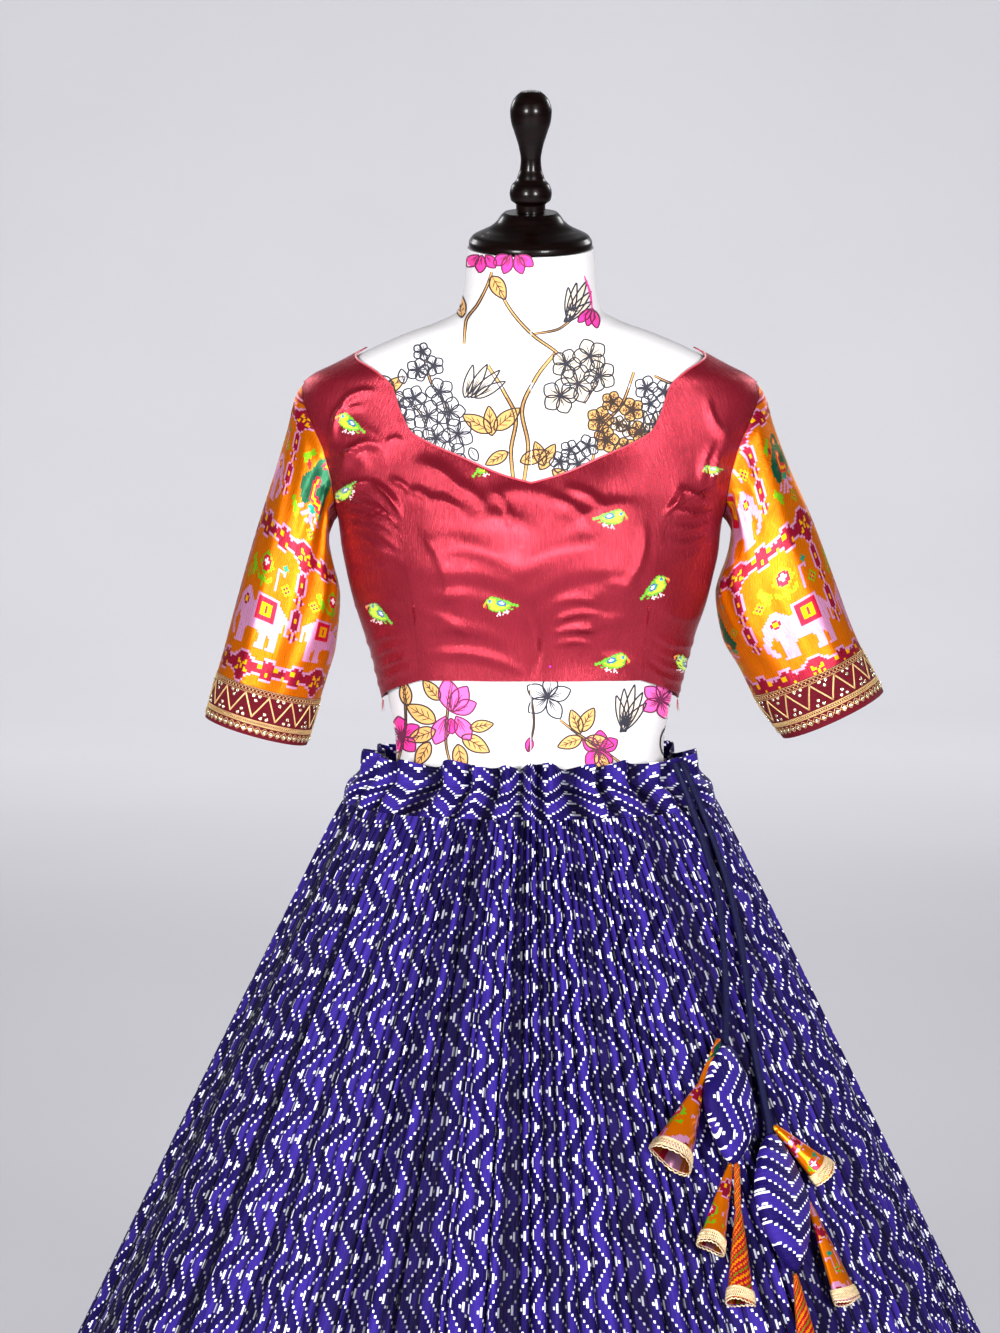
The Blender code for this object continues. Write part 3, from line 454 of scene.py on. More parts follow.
class Look:
    """A material under construction: its nodes and the shader that they feed."""

    def __init__(self, name, colour, roughness, **sockets):
        self.material = bpy.data.materials.new(name)
        self.material.use_nodes = True
        self.tree = self.material.node_tree
        self.shader = self.tree.nodes["Principled BSDF"]
        self.shader.inputs["Base Color"].default_value = (*colour[:3], 1)
        self.shader.inputs["Roughness"].default_value = roughness
        for key, value in sockets.items():
            self.shader.inputs[key.replace("_", " ")].default_value = value

    def feed(self, socket, value):
        if hasattr(value, "is_output"):
            self.tree.links.new(value, socket)
        elif value is not None:
            socket.default_value = value

    def node(self, kind, inputs=(), **settings):
        made = self.tree.nodes.new("ShaderNode" + kind)
        for key, value in settings.items():
            setattr(made, key, value)
        for key, value in dict(inputs).items():
            self.feed(made.inputs[key], value)
        return made

    def math(self, operation, a, b=None, c=None):
        made = self.node("Math", operation=operation)
        for socket, value in zip(made.inputs, (a, b, c)):
            self.feed(socket, value)
        return made.outputs[0]

    def mix(self, share, a, b, blend="MIX"):
        made = self.node("MixRGB", {"Fac": share}, blend_type=blend)
        for key, value in (("Color1", a), ("Color2", b)):
            self.feed(made.inputs[key], (*value[:3], 1) if isinstance(value, tuple) else value)
        return made.outputs[0]

    def noise(self, stretch, detail=2, roughness=0.5, at="Object"):
        """Noise with this many cells to a metre, one number for all axes or one for each."""
        place = self.node("TexCoord").outputs[at]
        scale = stretch
        if isinstance(stretch, tuple):
            place = self.node("Mapping", {"Vector": place, "Scale": stretch}).outputs[0]
            scale = 1
        inputs = {"Vector": place, "Scale": scale, "Detail": detail, "Roughness": roughness}
        return self.node("TexNoise", inputs).outputs["Fac"]

    def chart(self):
        """The colours that the mesh's corners carry: print, and painted shade in the skirt's and waistband's
        valleys and the cones' insides.
        """
        return self.node("VertexColor", layer_name="chart").outputs[0]

    def uv(self):
        split = self.node("SeparateXYZ", {"Vector": self.node("TexCoord").outputs["UV"]})
        return split.outputs[0], split.outputs[1]

    def map(self, value, low, high, to_low, to_high):
        made = self.node("MapRange", {"Value": value, "From Min": low, "From Max": high, "To Min": to_low,
                                      "To Max": to_high})
        return made.outputs[0]

    def bump(self, height, distance, strength=1.0):
        made = self.node("Bump", {"Height": height, "Distance": distance, "Strength": strength})
        return made.outputs[0]

    def finish(self, **links):
        for key, value in links.items():
            self.feed(self.shader.inputs[key.replace("_", " ")], value)
        return self.material


def weave(look, pitch):
    """The height of a plain weave of this pitch, in metres of the cloth's own coordinates."""
    warp, weft = [look.math("SINE", look.math("MULTIPLY", axis, 2 * math.pi / pitch)) for axis in look.uv()]
    return look.math("MULTIPLY", warp, weft)


def turned(name, profile, material, replaces, place, sides=72, spacing=1.6):
    """A smooth turned piece through a profile of radius and height, bottom row first."""
    rows = np.array(profile, float)
    found = [rows[0]]
    for start, end in zip(rows[:-1], rows[1:]):
        steps = max(1, int(np.linalg.norm(end - start) / spacing))
        found += [start + (end - start) * j / steps for j in range(1, steps + 1)]
    rows = np.array(found)[::-1]
    points = round_points(rows[:, :1], circle(sides), rows[:, 1:])
    mesh = new_mesh(name, points, quads(len(rows), sides, True).reshape(-1, 4))
    mesh.set_sharp_from_angle(angle=math.radians(40))
    mesh.transform(place)
    return add_piece(name, mesh, material, replaces)


def rounded_profile(rows, spacing):
    """A profile through all its rows as one smooth curve."""
    rows = np.asarray(rows, float)
    return resample(rows, even_shares(int(path_length(rows) / spacing)))


# The skirt cloth's zigzag, counted in cells of its dyed chart.
PRINT_CELL = 1.36
HALF_PERIOD = 22
LINE_REPEAT = 9
MARK_WIDE = 1.35
# The dots of each line: the first, how far apart they lie, how many, and half their height.
DOT_FIRST = 2
DOT_EVERY = 3
DOTS = 5
DOT_HALF = 0.85
# The marks at a line's turns: on which side of which row they lie, and where across.
TURNING_MARKS = (("LESS_THAN", 3, 0), ("LESS_THAN", 1, -2), ("GREATER_THAN", 19, 12),
                 ("GREATER_THAN", 21, 14))
LANE_LAST = 13
PRINT_VIOLET = linear(45, 30, 116)
PRINT_NAVY = linear(18, 9, 66)
PRINT_WHITE = linear(254, 254, 255)
# The white as dimmed in the painted shade streaks of the cloth's crinkles.
PRINT_WHITE_SHADED = linear(224, 230, 252)


def zigzag_print():
    """The skirt cloth: rows of white dots in a stepped zigzag, with violet and navy between them by turns."""
    look = Look("skirt_print", PRINT_VIOLET, 0.42, Specular_IOR_Level=0.16, Specular_Tint=(0.4, 0.3, 1, 1))
    across, along = [look.math("DIVIDE", axis, PRINT_CELL * MM) for axis in look.uv()]
    down = look.math("PINGPONG", along, HALF_PERIOD)

    def clamped(value, low, high):
        return look.math("MINIMUM", look.math("MAXIMUM", value, low), high)

    def marks(wanted, start):
        """Marks in the rows wanted, in the cells from a start that each line repeats."""
        offset = look.math("FLOORED_MODULO", look.math("SUBTRACT", across, start), LINE_REPEAT)
        return look.math("MULTIPLY", wanted, look.math("LESS_THAN", offset, MARK_WIDE))

    step = look.math("ROUND", look.math("DIVIDE", look.math("SUBTRACT", down, DOT_FIRST), DOT_EVERY))
    step = clamped(step, 1, DOTS)
    away = look.math("SUBTRACT", down, look.math("MULTIPLY_ADD", step, DOT_EVERY, DOT_FIRST))
    dots = look.math("LESS_THAN", look.math("ABSOLUTE", away), DOT_HALF)
    white = marks(dots, look.math("MULTIPLY", step, 2))
    for side, limit, start in TURNING_MARKS:
        white = look.math("MAXIMUM", white, marks(look.math(side, down, limit), start))
    middle = look.math("MULTIPLY_ADD", look.math("SUBTRACT", down, DOT_EVERY), 2 / DOT_EVERY, 1)
    lane = look.math("SUBTRACT", across, clamped(middle, 1, LANE_LAST))
    lane = look.math("FLOORED_MODULO", lane, 2 * LINE_REPEAT)
    navy = look.math("GREATER_THAN", lane, LINE_REPEAT)
    # Streaks down the cloth's length that darken the ground towards navy and dim the white: painted sheen and
    # shade of the fine crinkles.
    sheen_streaks = look.noise((900, 26, 1), at="UV")
    ground = look.mix(navy, PRINT_VIOLET, PRINT_NAVY)
    ground = look.mix(look.map(sheen_streaks, 0.35, 0.7, 0, 0.3), ground, PRINT_NAVY)
    colour = look.mix(white, ground, look.mix(sheen_streaks, PRINT_WHITE, PRINT_WHITE_SHADED))
    # Multiplies in the corner colours: painted shade in the pleats' and puckers' valleys.
    colour = look.mix(1.0, colour, look.chart(), "MULTIPLY")
    crinkle = look.noise((420, 14, 1), 4, 0.6, "UV")
    threads = look.math("MULTIPLY", weave(look, 0.0009), 0.03)
    height = look.math("MULTIPLY_ADD", crinkle, 1.0, threads)
    return look.finish(Base_Color=colour, Normal=look.bump(height, 0.0022, 0.8))


# The pleats between the main folds: how deep they stand at each height.
PLEAT_DEPTH = ((24, 2.6), (330, 2.9), (640, 3.0), (860, 3.2), (960, 3.0), (996, 2.2), (1010, 1.3))
PLEAT_COLUMNS = 8
SKIRT_ROWS = 46
SKIRT_ROW_SPACING = 1.25  # the rows lie closer together near the waistband
GATHER_JITTER = 0.3  # of a gather's width
# About the skirt's radius at its hem and at its top, where a seam's half gap is turned into an angle.
TRIM_RADIUS = (650, 140)
RIDGE_POWER = 0.75
RIDGE_MIDDLE = 0.62
CLOTH_WANDER = 3.2
# VALLEY_SHADE, SUNK_SHADE and SHADE_CONTRAST set the painted shade in the skirt's corner colours.
VALLEY_SHADE = 0.02
SUNK_SHARE = 0.15  # of the pleats, those that lie behind their neighbours
SUNK_DEPTH = 4.5
SUNK_SHADE = 0.35
SHADE_CONTRAST = 1.3
CREASES = 84  # smaller folds that open towards the hem


def column_shades(shade, rows):
    """One grey of painted shade for each column of the faces of a grid of so many rows."""
    return np.broadcast_to(shade[None, :, None], (rows - 1, len(shade), 3))


def table_at(table, height):
    return smooth_column([row[0] for row in table], [row[1] for row in table], height)


def fold_shift(turn, height):
    degrees = np.degrees(turn)
    grown = np.clip((SKIRT_TOP - height) / (SKIRT_TOP - SKIRT_HEM), 0, 1)
    shift = np.zeros_like(degrees)
    for at, depth, breadth in FOLDS:
        away = (degrees - at + 180) % 360 - 180
        shift = shift + depth * np.exp(-((away / breadth) ** 2))
    return shift * grown**FOLD_GROWTH


def skirt_outline(turn, height):
    """The skirt's surface without its fine pleats."""
    grown = (SKIRT_TOP - height) / (SKIRT_TOP - SKIRT_HEM)
    oval = [top + (hem - top) * grown for top, hem in zip(SKIRT_TOP_OVAL, SKIRT_HEM_OVAL)]
    mean_fold = MEAN_FOLD * np.clip(grown, 0, 1) ** FOLD_GROWTH
    return oval_radius(turn, *oval) + mean_fold - fold_shift(turn, height)


def creases(turn, height, random):
    """Irregular narrow folds, each with its own place, depth and height where it starts."""
    found = np.zeros(np.broadcast(turn, height).shape)
    for number in range(CREASES):
        at = math.radians(360 * (number + random.uniform(0.1, 0.9)) / CREASES)
        lean = random.uniform(-0.03, 0.03)
        breadth = random.uniform(0.010, 0.020)
        depth = random.uniform(2.5, 8.5)
        start = random.uniform(560, 1000)
        grown = rise(start - height, 0, random.uniform(250, 600))
        away = (turn - at - lean * (SKIRT_TOP - height) / SKIRT_TOP + math.pi) % (2 * math.pi) - math.pi
        found = found + depth * grown * np.exp(-((away / breadth) ** 2))
    return found


def panel_corners(points, panel, pleat):
    """The print's place at each quad's corners, and the cloth's size.

    Each pleat keeps a strip of cloth as wide as its hem."""
    arcs = lengths_along(points.swapaxes(0, 1)).T
    down = rows_apart(points)
    hem = arcs[-1]
    wander = CLOTH_WANDER * (np.sin(hem / 61 + panel) + np.sin(hem / 27 + 2 * panel) * 0.5)
    middle = np.arange(GATHERS // PANELS) * PLEAT_COLUMNS + PLEAT_COLUMNS // 2
    shift = hem[middle[pleat]] - arcs[:, middle][:, pleat]
    left = arcs[:, :-1] + shift
    right = arcs[:, 1:] + shift
    v = down[:, None] + wander[None]
    corners = ((left[:-1], v[:-1, :-1]), (left[1:], v[1:, :-1]),
               (right[1:], v[1:, 1:]), (right[:-1], v[:-1, 1:]))
    corners = np.stack([np.stack(pair, axis=-1) for pair in corners], axis=2)
    return corners * MM, hem[-1] * MM, down[-1] * MM


def skirt_panel(panel, material):
    random = np.random.default_rng(SEED)
    gathers = GATHERS // PANELS
    starts = np.arange(GATHERS + 1, dtype=float)
    starts[1:-1] += random.uniform(-GATHER_JITTER, GATHER_JITTER, GATHERS - 1)
    starts[::gathers] = np.arange(0, GATHERS + 1, gathers)
    strength = 0.5 + 1.2 * random.uniform(0, 1, GATHERS) ** 2
    first = panel * gathers
    heights = SKIRT_TOP - (SKIRT_TOP - SKIRT_HEM) * even_shares(SKIRT_ROWS - 1, SKIRT_ROW_SPACING)
    part = np.arange(PLEAT_COLUMNS * gathers + 1)
    pleat = np.minimum(part // PLEAT_COLUMNS, gathers - 1) + first
    local = part / PLEAT_COLUMNS - (pleat - first)
    turns = starts[pleat] + local * (starts[pleat + 1] - starts[pleat])
    turns = PANEL_START + 2 * math.pi / GATHERS * turns
    trim = HALF_SEAM / np.interp(heights, (SKIRT_HEM, SKIRT_TOP), TRIM_RADIUS)
    turn = np.repeat(turns[None], SKIRT_ROWS, axis=0)
    turn[:, 0] += trim
    turn[:, -1] -= trim
    height = np.repeat(heights[:, None], len(turns), axis=1)
    depth = table_at(PLEAT_DEPTH, heights)[:, None]
    ridge = np.abs(np.sin(np.pi * local)) ** RIDGE_POWER
    wave = (ridge - RIDGE_MIDDLE) * 2 * strength[pleat]
    drift = np.sin(heights[:, None] / 90 + pleat * 2.4) * 0.12 + 1
    radius = skirt_outline(turn, height) + depth * wave[None] * drift - creases(turn, height, random)
    sunk = random.uniform(0, 1, GATHERS)[pleat] < SUNK_SHARE
    radius = radius - np.where(sunk, SUNK_DEPTH, 0) * np.sin(np.pi * local) ** 2
    edge = rise(np.minimum(part, len(part) - 1 - part), 0, PLEAT_COLUMNS)
    plain = skirt_outline(turn, height) - depth
    radius = plain + (radius - plain) * (0.35 + 0.65 * edge[None])
    points = round_points(radius, turn, height)
    corners, wide, long = panel_corners(points, panel, pleat[:-1] - first)

    # Painted shade: each pleat's valley is darkened in the corner colours, the sunk pleats more, and opening
    # sets how far the lit ridge reaches.
    opening = 0.6 + 1.2 * random.uniform(0, 1, GATHERS)[pleat] ** 2
    shade = VALLEY_SHADE + (1 - VALLEY_SHADE) * rise(ridge, 0.05, opening)
    shade = np.where(sunk, shade * SUNK_SHADE, shade) ** SHADE_CONTRAST
    shade = 0.5 * (shade[:-1] + shade[1:])
    name = "skirt_panel_%d" % (panel + 1)
    made = shell("cloth_" + name, points, 1.0, material, [name], corner_uv=corners,
                 colours=column_shades(shade, SKIRT_ROWS))
    return made, wide, long


def build_skirt(material):
    for panel in range(PANELS):
        piece, wide, long = skirt_panel(panel, material)


BAND_ROWS = 24
BAND_PUCKER_COLUMNS = 12
BAND_MIDDLE = 10  # the row that the cut is measured on


def band_point(turn, share, random_turn):
    """The waistband's outer surface; a share runs from its seam, 0, to its scalloped top, 1."""
    heights = sorted(row[0] for row in BAND)
    height = heights[0] + (heights[-1] - heights[0]) * share
    sizes = [column(BAND, BAND_COLUMNS, name, height) for name in BAND_COLUMNS[1:]]
    wave = np.cos(PUCKERS * random_turn)
    sharp = np.sign(wave) * np.abs(wave) ** 0.8
    puff = 2.2 * np.sin(math.pi * np.clip(share, 0, 1)) ** 0.7
    radius = oval_radius(turn, *sizes[:3]) + sizes[3] * sharp * 0.96 + puff * (0.5 + 0.5 * sharp)
    radius = radius + 0.8 * np.sin(71 * turn + 3 * share) * np.sin(math.pi * share)
    z = height + (TOP_SCALLOP * wave + 1.6 * np.sin(9 * turn + 1) + 1.3 * np.sin(17 * turn)) * share**2
    return round_points(radius, turn, z)


def build_waistband(material):
    turns = circle(PUCKERS * BAND_PUCKER_COLUMNS)
    warped = turns + 0.045 * np.sin(5 * turns + 0.7) + 0.03 * np.sin(11 * turns)
    share = np.linspace(1, 0, BAND_ROWS)[:, None]
    points = band_point(turns[None] + 0 * share, share + 0 * turns, warped[None])
    middle = points[BAND_MIDDLE]
    arcs = lengths_along(middle)
    down = rows_apart(points)
    along = down[:, None] + 2.5 * np.sin(turns * 13)[None]
    uv = np.stack(np.broadcast_arrays(along, arcs[None]), axis=-1) * MM
    # Painted shade: the waistband's pucker valleys are darkened in the corner colours.
    shade = 0.12 + 0.88 * rise(0.5 + 0.5 * np.cos(PUCKERS * warped), 0, 0.55)
    made = shell("cloth_waistband", points, 1.2, material, ["waistband"], closed=True, uv=uv,
                 colours=column_shades(shade, BAND_ROWS), inner_step=3)


# The choli's wrinkles: a soft ridge from one point to another, by distance across and height, seen from the
# front, with its depth and half breadth. A row with a negative depth is a trough.
WRINKLES = (
    (-170, 1350, -120, 1324, 1.8, 9), (-176, 1325, -140, 1318, 1.6, 7), (-152, 1196, -108, 1188, 1.0, 4),
    (170, 1352, 148, 1300, 1.6, 8), (146, 1180, 108, 1196, 1.0, 5),
    (-96, 1318, -52, 1280, 1.8, 7), (-64, 1300, -36, 1272, 1.4, 5), (-30, 1292, -18, 1262, 1.1, 4),
    (30, 1296, 64, 1276, 1.4, 5), (18, 1288, 52, 1262, 1.2, 5), (-104, 1294, -84, 1282, 1.6, 5),
    (-92, 1250, -14, 1224, 1.6, 11), (-16, 1224, 84, 1246, 1.5, 11), (-88, 1214, 2, 1192, -1.3, 9),
    (0, 1196, 92, 1216, -1.2, 9), (-90, 1176, -20, 1164, 1.2, 8), (26, 1168, 92, 1184, 1.2, 8),
    (-94, 1262, -70, 1200, 1.2, 5), (96, 1266, 74, 1204, 1.1, 5), (-40, 1290, 30, 1282, 1.0, 8),
    (1, 1192, 1, 1131, -1.3, 2.0), (-84, 1200, -50, 1206, 0.8, 6), (60, 1216, 92, 1208, 0.8, 6),
)
BACK_WRINKLES = (
    (-150, 1290, -110, 1262, 2.6, 5), (-152, 1262, -112, 1240, 2.4, 5), (-146, 1226, -100, 1214, 1.8, 5),
    (-134, 1180, -86, 1196, 1.6, 5), (-130, 1150, -84, 1166, 1.8, 5), (-128, 1128, -76, 1140, 1.6, 4),
    (150, 1288, 112, 1258, 2.6, 5), (152, 1264, 108, 1244, 2.2, 5), (144, 1222, 96, 1216, 1.8, 5),
    (136, 1176, 88, 1192, 1.6, 5), (130, 1148, 82, 1162, 1.8, 5), (126, 1126, 72, 1138, 1.6, 4),
    (-60, 1270, -14, 1254, 1.4, 5), (60, 1268, 12, 1250, 1.4, 5), (-52, 1160, -10, 1152, 1.6, 5),
    (54, 1164, 12, 1150, 1.6, 5),
)
FOLD_STRENGTH = 1.5
FOLD_BREADTH = 0.85
# The drag folds at the armholes, the hem's sides and the bust, from one place in the photograph to another,
# with their depth and half breadth in millimetres.
DRAG_FOLDS = (
    (344, 492, 374, 482, 3.4, 3.0), (374, 482, 402, 512, 3.2, 3.4), (346, 500, 396, 520, 3.0, 2.6),
    (343, 508, 398, 534, 2.8, 2.8), (345, 518, 400, 548, 2.4, 2.8), (347, 530, 392, 556, 2.0, 3.0),
    (348, 545, 404, 560, 1.4, 2.6), (352, 562, 400, 572, 1.3, 2.6), (356, 604, 408, 600, 1.0, 3.0),
    (366, 640, 410, 632, 1.6, 2.6), (372, 654, 414, 642, 1.8, 2.4), (378, 668, 418, 652, 1.9, 2.4),
    (384, 682, 420, 664, 1.7, 2.4), (344, 470, 372, 440, 2.6, 4.0), (352, 452, 384, 446, 1.8, 4.0),
    (336, 440, 352, 396, 1.6, 4.0), (344, 404, 376, 392, 1.8, 3.6), (388, 444, 404, 440, 1.0, 3.0),
    (392, 480, 412, 492, 1.2, 3.0), (336, 416, 366, 408, 1.2, 3.2),
    (706, 496, 678, 488, 3.0, 3.0), (678, 488, 664, 512, 3.0, 3.2), (708, 506, 674, 512, 2.8, 2.6),
    (708, 516, 670, 530, 2.4, 2.6), (706, 528, 668, 546, 2.0, 2.8), (702, 542, 664, 560, 1.6, 2.8),
    (712, 488, 716, 450, 2.2, 3.6), (700, 484, 712, 440, 1.8, 3.0), (722, 436, 706, 400, 1.4, 4.0),
    (694, 640, 650, 632, 1.4, 2.6), (692, 652, 648, 644, 1.6, 2.4), (690, 664, 646, 652, 1.7, 2.4),
    (688, 676, 640, 660, 1.5, 2.4), (682, 688, 650, 672, 1.3, 2.4),
    (556, 618, 600, 612, 1.6, 3.4), (556, 630, 596, 628, 1.5, 3.0), (558, 642, 590, 642, 1.2, 2.6),
    (556, 600, 596, 600, 1.0, 3.0), (470, 520, 540, 534, 1.0, 8.0), (430, 500, 470, 520, 1.2, 6.0),
    (440, 560, 520, 580, -1.0, 8.0), (560, 532, 640, 506, 1.1, 8.0), (430, 652, 520, 668, 0.9, 5.0),
    (420, 610, 470, 632, 0.8, 5.0), (600, 654, 652, 676, 1.0, 5.0),
)
DRAG_STRENGTH = 1.15
LOWEST_CLEAR = 0.5
FOLDS_REACH_ROUND = 12  # past the form's middle, towards its other side
FOLD_BOW = 0.10  # of its length


def clearance(turn, height):
    loose = 1 - rise(height, SIDE_HEM_HEIGHT, HEM_CLEAR_FROM)
    round_about, up = BETWEEN_SPREAD
    between = np.exp(-((turn / round_about) ** 2 + ((height - BUST_HEIGHT + BETWEEN_BELOW) / up) ** 2) / 2)
    round_about, up = CROWN_SPREAD
    crown = np.exp(-(((np.abs(turn) - CROWN_TURN) / round_about) ** 2) - ((height - BUST_HEIGHT) / up) ** 2)
    return CLEAR + (HEM_CLEAR - CLEAR) * loose + BETWEEN_CLEAR * between + CROWN_CLEAR * crown


@functools.cache
def drag_rows():
    """The drag folds by distance across and height on the form."""
    table = np.array(DRAG_FOLDS, float)
    ends = []
    for k in (0, 2):
        turn, height = seen(table[:, k], table[:, k + 1])
        ends += [form_skin(turn, height)[..., 0], height]
    return np.stack(ends + [table[:, 4] * DRAG_STRENGTH, table[:, 5]], axis=1).tolist()


def wrinkles(turn, height):
    """How far the choli's wrinkles stand out."""
    x, y = [form_skin(turn, height)[..., k] for k in (0, 1)]
    found = np.zeros(np.shape(x))
    front = y < FOLDS_REACH_ROUND
    back = y > -FOLDS_REACH_ROUND
    for table, facing in ((WRINKLES, front), (drag_rows(), front), (BACK_WRINKLES, back)):
        for x0, z0, x1, z1, depth, breadth in table:
            dx, dz = x1 - x0, z1 - z0
            long = math.hypot(dx, dz)
            along = ((x - x0) * dx + (height - z0) * dz) / (dx * dx + dz * dz)
            bow = FOLD_BOW * long * np.sin(math.pi * np.clip(along, 0, 1))
            side = ((x - x0) * dz - (height - z0) * dx) / long + bow
            ends = rise(along, -0.15, 0.3) * rise(-along, -1.15, -0.6)
            ridge = FOLD_STRENGTH * depth * ends * np.exp(-((side / breadth / FOLD_BREADTH) ** 2))
            found = found + np.where(facing, ridge, 0)
    ripple = 0.35 * np.sin(x / 9 + height / 23) + 0.25 * np.sin(height / 7 - x / 31)
    return found + ripple * 0.6


def choli_surface(turn, height, out=0.0):
    """The choli's outer surface, or a point that far off it."""
    clear = np.maximum(clearance(turn, height) + wrinkles(turn, height), LOWEST_CLEAR) + CLOTH
    return form_point(turn, height, clear + out)


def armhole_front(first, last, count, spacing=1.0):
    """The armhole between two heights, the upper one first."""
    curve = sampled(ARMHOLE, even_shares(240))
    inside = curve[(curve[:, 1] <= first + 0.01) & (curve[:, 1] >= last - 0.01)]
    ends = [[[np.interp(-height, -curve[:, 1], curve[:, 0]), height]] for height in (first, last)]
    rows = np.concatenate([ends[0], inside[1:-1], ends[1]])
    along = lengths_along(rows * (ARC, 1))
    at = even_shares(count, spacing) * along[-1]
    return np.stack([np.interp(at, along, rows[:, k]) for k in range(2)], axis=1)


def behind_form(rows):
    return np.stack([math.pi - rows[:, 0], rows[:, 1]], axis=1)


ARMHOLE_TOP = ARMHOLE[0][1]
ARMPIT = ARMHOLE[-1][1]
PRINCESS_TOP = PRINCESS[0][1]
QUARTER = math.radians(90)
SHOULDER_SPACING = 1.6
NECK_SPACING = 1.25


def choli_edges(fine):
    """The panels' shared seams on the right half, sampled this many times as finely as in the solids."""
    upper = armhole_front(ARMHOLE_TOP, PRINCESS_TOP, 7 * fine, SHOULDER_SPACING)
    lower = armhole_front(PRINCESS_TOP, ARMPIT, 5 * fine)
    princess = sampled(PRINCESS, even_shares(9 * fine))
    princess[0] = upper[-1]
    hem = sampled(FRONT_HEM, even_shares(5 * fine))
    hem[0] = princess[-1]
    side_heights = np.linspace(ARMPIT, SIDE_HEM_HEIGHT, 9 * fine + 1)
    side = np.stack([np.full(9 * fine + 1, QUARTER), side_heights], axis=1)
    share = even_shares(5 * fine)[:, None]
    side_hem = (1 - share) * princess[-1] + share * side[-1]
    return {"armhole": np.concatenate([upper, lower[1:]]), "armhole_upper": upper, "armhole_lower": lower,
            "princess": princess, "hem": hem, "side": side, "side_hem": side_hem}


def hold_back(grid, first=True, last=True):
    """Draws a panel's edges back from its seams."""
    def pull(edge, neighbour):
        step = (neighbour - edge) * (ARC, 1)
        length = np.linalg.norm(step, axis=-1, keepdims=True)
        return edge + (neighbour - edge) * HALF_SEAM / np.maximum(length, 1e-6)

    grid = grid.copy()
    if first:
        grid[0] = pull(grid[0], grid[1])
    if last:
        grid[-1] = pull(grid[-1], grid[-2])
    grid[:, 0] = pull(grid[:, 0], grid[:, 1])
    grid[:, -1] = pull(grid[:, -1], grid[:, -2])
    return grid


def between_edges(first, last, rows):
    parts = np.linspace(0, 1, rows + 1)[:, None, None]
    return (1 - parts) * first[None] + parts * last[None]


def satin_finish(look, colour, slub, gloss_low, gloss_high, pitch, metallic, relief):
    """Satin's shine and its relief, from its slubs and its threads' pitch in metres."""
    gloss = look.map(slub, 0.2, 0.8, gloss_low, gloss_high)
    height = look.math("MULTIPLY_ADD", slub, 0.5, look.math("MULTIPLY", weave(look, pitch), 0.12))
    normal = look.bump(height, relief, 0.6)
    return look.finish(Base_Color=colour, Roughness=gloss, Metallic=metallic, Normal=normal)


def satin():
    """Red satin: long floats that run down the cloth, a soft broad shine, and slubs."""
    look = Look("choli_satin", linear(158, 22, 42), 0.3, Specular_IOR_Level=1.0, Anisotropic=0.55,
                Specular_Tint=(1, 0.68, 0.7, 1))
    slub = look.noise((1500, 45, 1), 3, 0.6, "UV")
    cloud = look.noise((40, 14, 1), at="UV")
    colour = look.mix(look.map(slub, 0.3, 0.7, 0, 0.35), linear(144, 25, 44), linear(107, 15, 31))
    colour = look.mix(look.map(cloud, 0.35, 0.7, 0, 0.25), colour, linear(178, 38, 60))
    return satin_finish(look, colour, slub, 0.2, 0.34, 0.0006, 0.7, 0.0005)


def straight_uv(points):
    """Flat cloth coordinates from where the cloth lies: round the form, and down."""
    turn = np.arctan2(points[..., 0], -points[..., 1])
    return np.stack([turn * ARC * 0.9, -points[..., 2]], axis=-1) * MM


def add_choli_panel(name, grid, material):
    """A panel of the choli: a thin shell over the form, with straight cloth coordinates."""
    points = choli_surface(grid[..., 0], grid[..., 1])
    uv = straight_uv(points)
    made = shell("cloth_" + name, points, CLOTH * 0.8, material, [name], uv=uv)


CHOLI_ROWS = 68
CHOLI_BACK_ROWS = 56
FRONT_FINE = 7
BACK_FINE = 5


def patch_between(edges):
    """The side front's grid: straight across between its seams, bent to its armhole and its hem."""
    rows = len(edges["princess"])
    across = even_shares(len(edges["side_hem"]) - 1)[:, None]

    def straight(i):
        return (1 - across) * edges["princess"][i] + across * edges["side"][i]

    top = edges["armhole_lower"] - straight(0)
    foot = edges["side_hem"] - straight(-1)
    found = []
    for i in range(rows):
        share = i / (rows - 1)
        found.append(straight(i) + (1 - share) * top + share * foot)
    return np.array(found)


def build_choli():
    material = satin()
    edges = choli_edges(FRONT_FINE)
    outer_edge = np.concatenate([edges["armhole_upper"], edges["princess"][1:], edges["hem"][1:]])
    neckline = sampled(NECKLINE, even_shares(len(outer_edge) - 1, NECK_SPACING))
    half = between_edges(neckline, outer_edge, CHOLI_ROWS)
    half[:, -1, 0] = 0
    grid = hold_back(np.concatenate([half[:, :-1] * (-1, 1), half[:, ::-1]], axis=1), first=False)
    add_choli_panel("choli_front", grid, material)

    grid = hold_back(patch_between(edges), last=False)
    add_choli_panel("choli_side_front_left", grid[:, ::-1] * (-1, 1), material)
    add_choli_panel("choli_side_front_right", grid, material)

    edges = choli_edges(BACK_FINE)
    hem_turns = np.linspace(QUARTER, math.pi, 7 * BACK_FINE + 1)
    hem_heights = SIDE_HEM_HEIGHT + BACK_HEM_RISE * rise(hem_turns, QUARTER, math.pi)
    back_hem = np.stack([hem_turns, hem_heights], axis=1)
    outer_edge = np.concatenate([behind_form(edges["armhole"]), edges["side"][1:], back_hem[1:]])
    shares = np.interp(even_shares(len(outer_edge) - 1), *BACK_NECK_SHARES)
    back_neck = sampled(BACK_NECKLINE, shares, behind=True)
    grid = hold_back(between_edges(back_neck, outer_edge, CHOLI_BACK_ROWS), first=False)
    add_choli_panel("choli_back_left", (grid * (-1, 1))[:, ::-1], material)
    add_choli_panel("choli_back_right", grid, material)


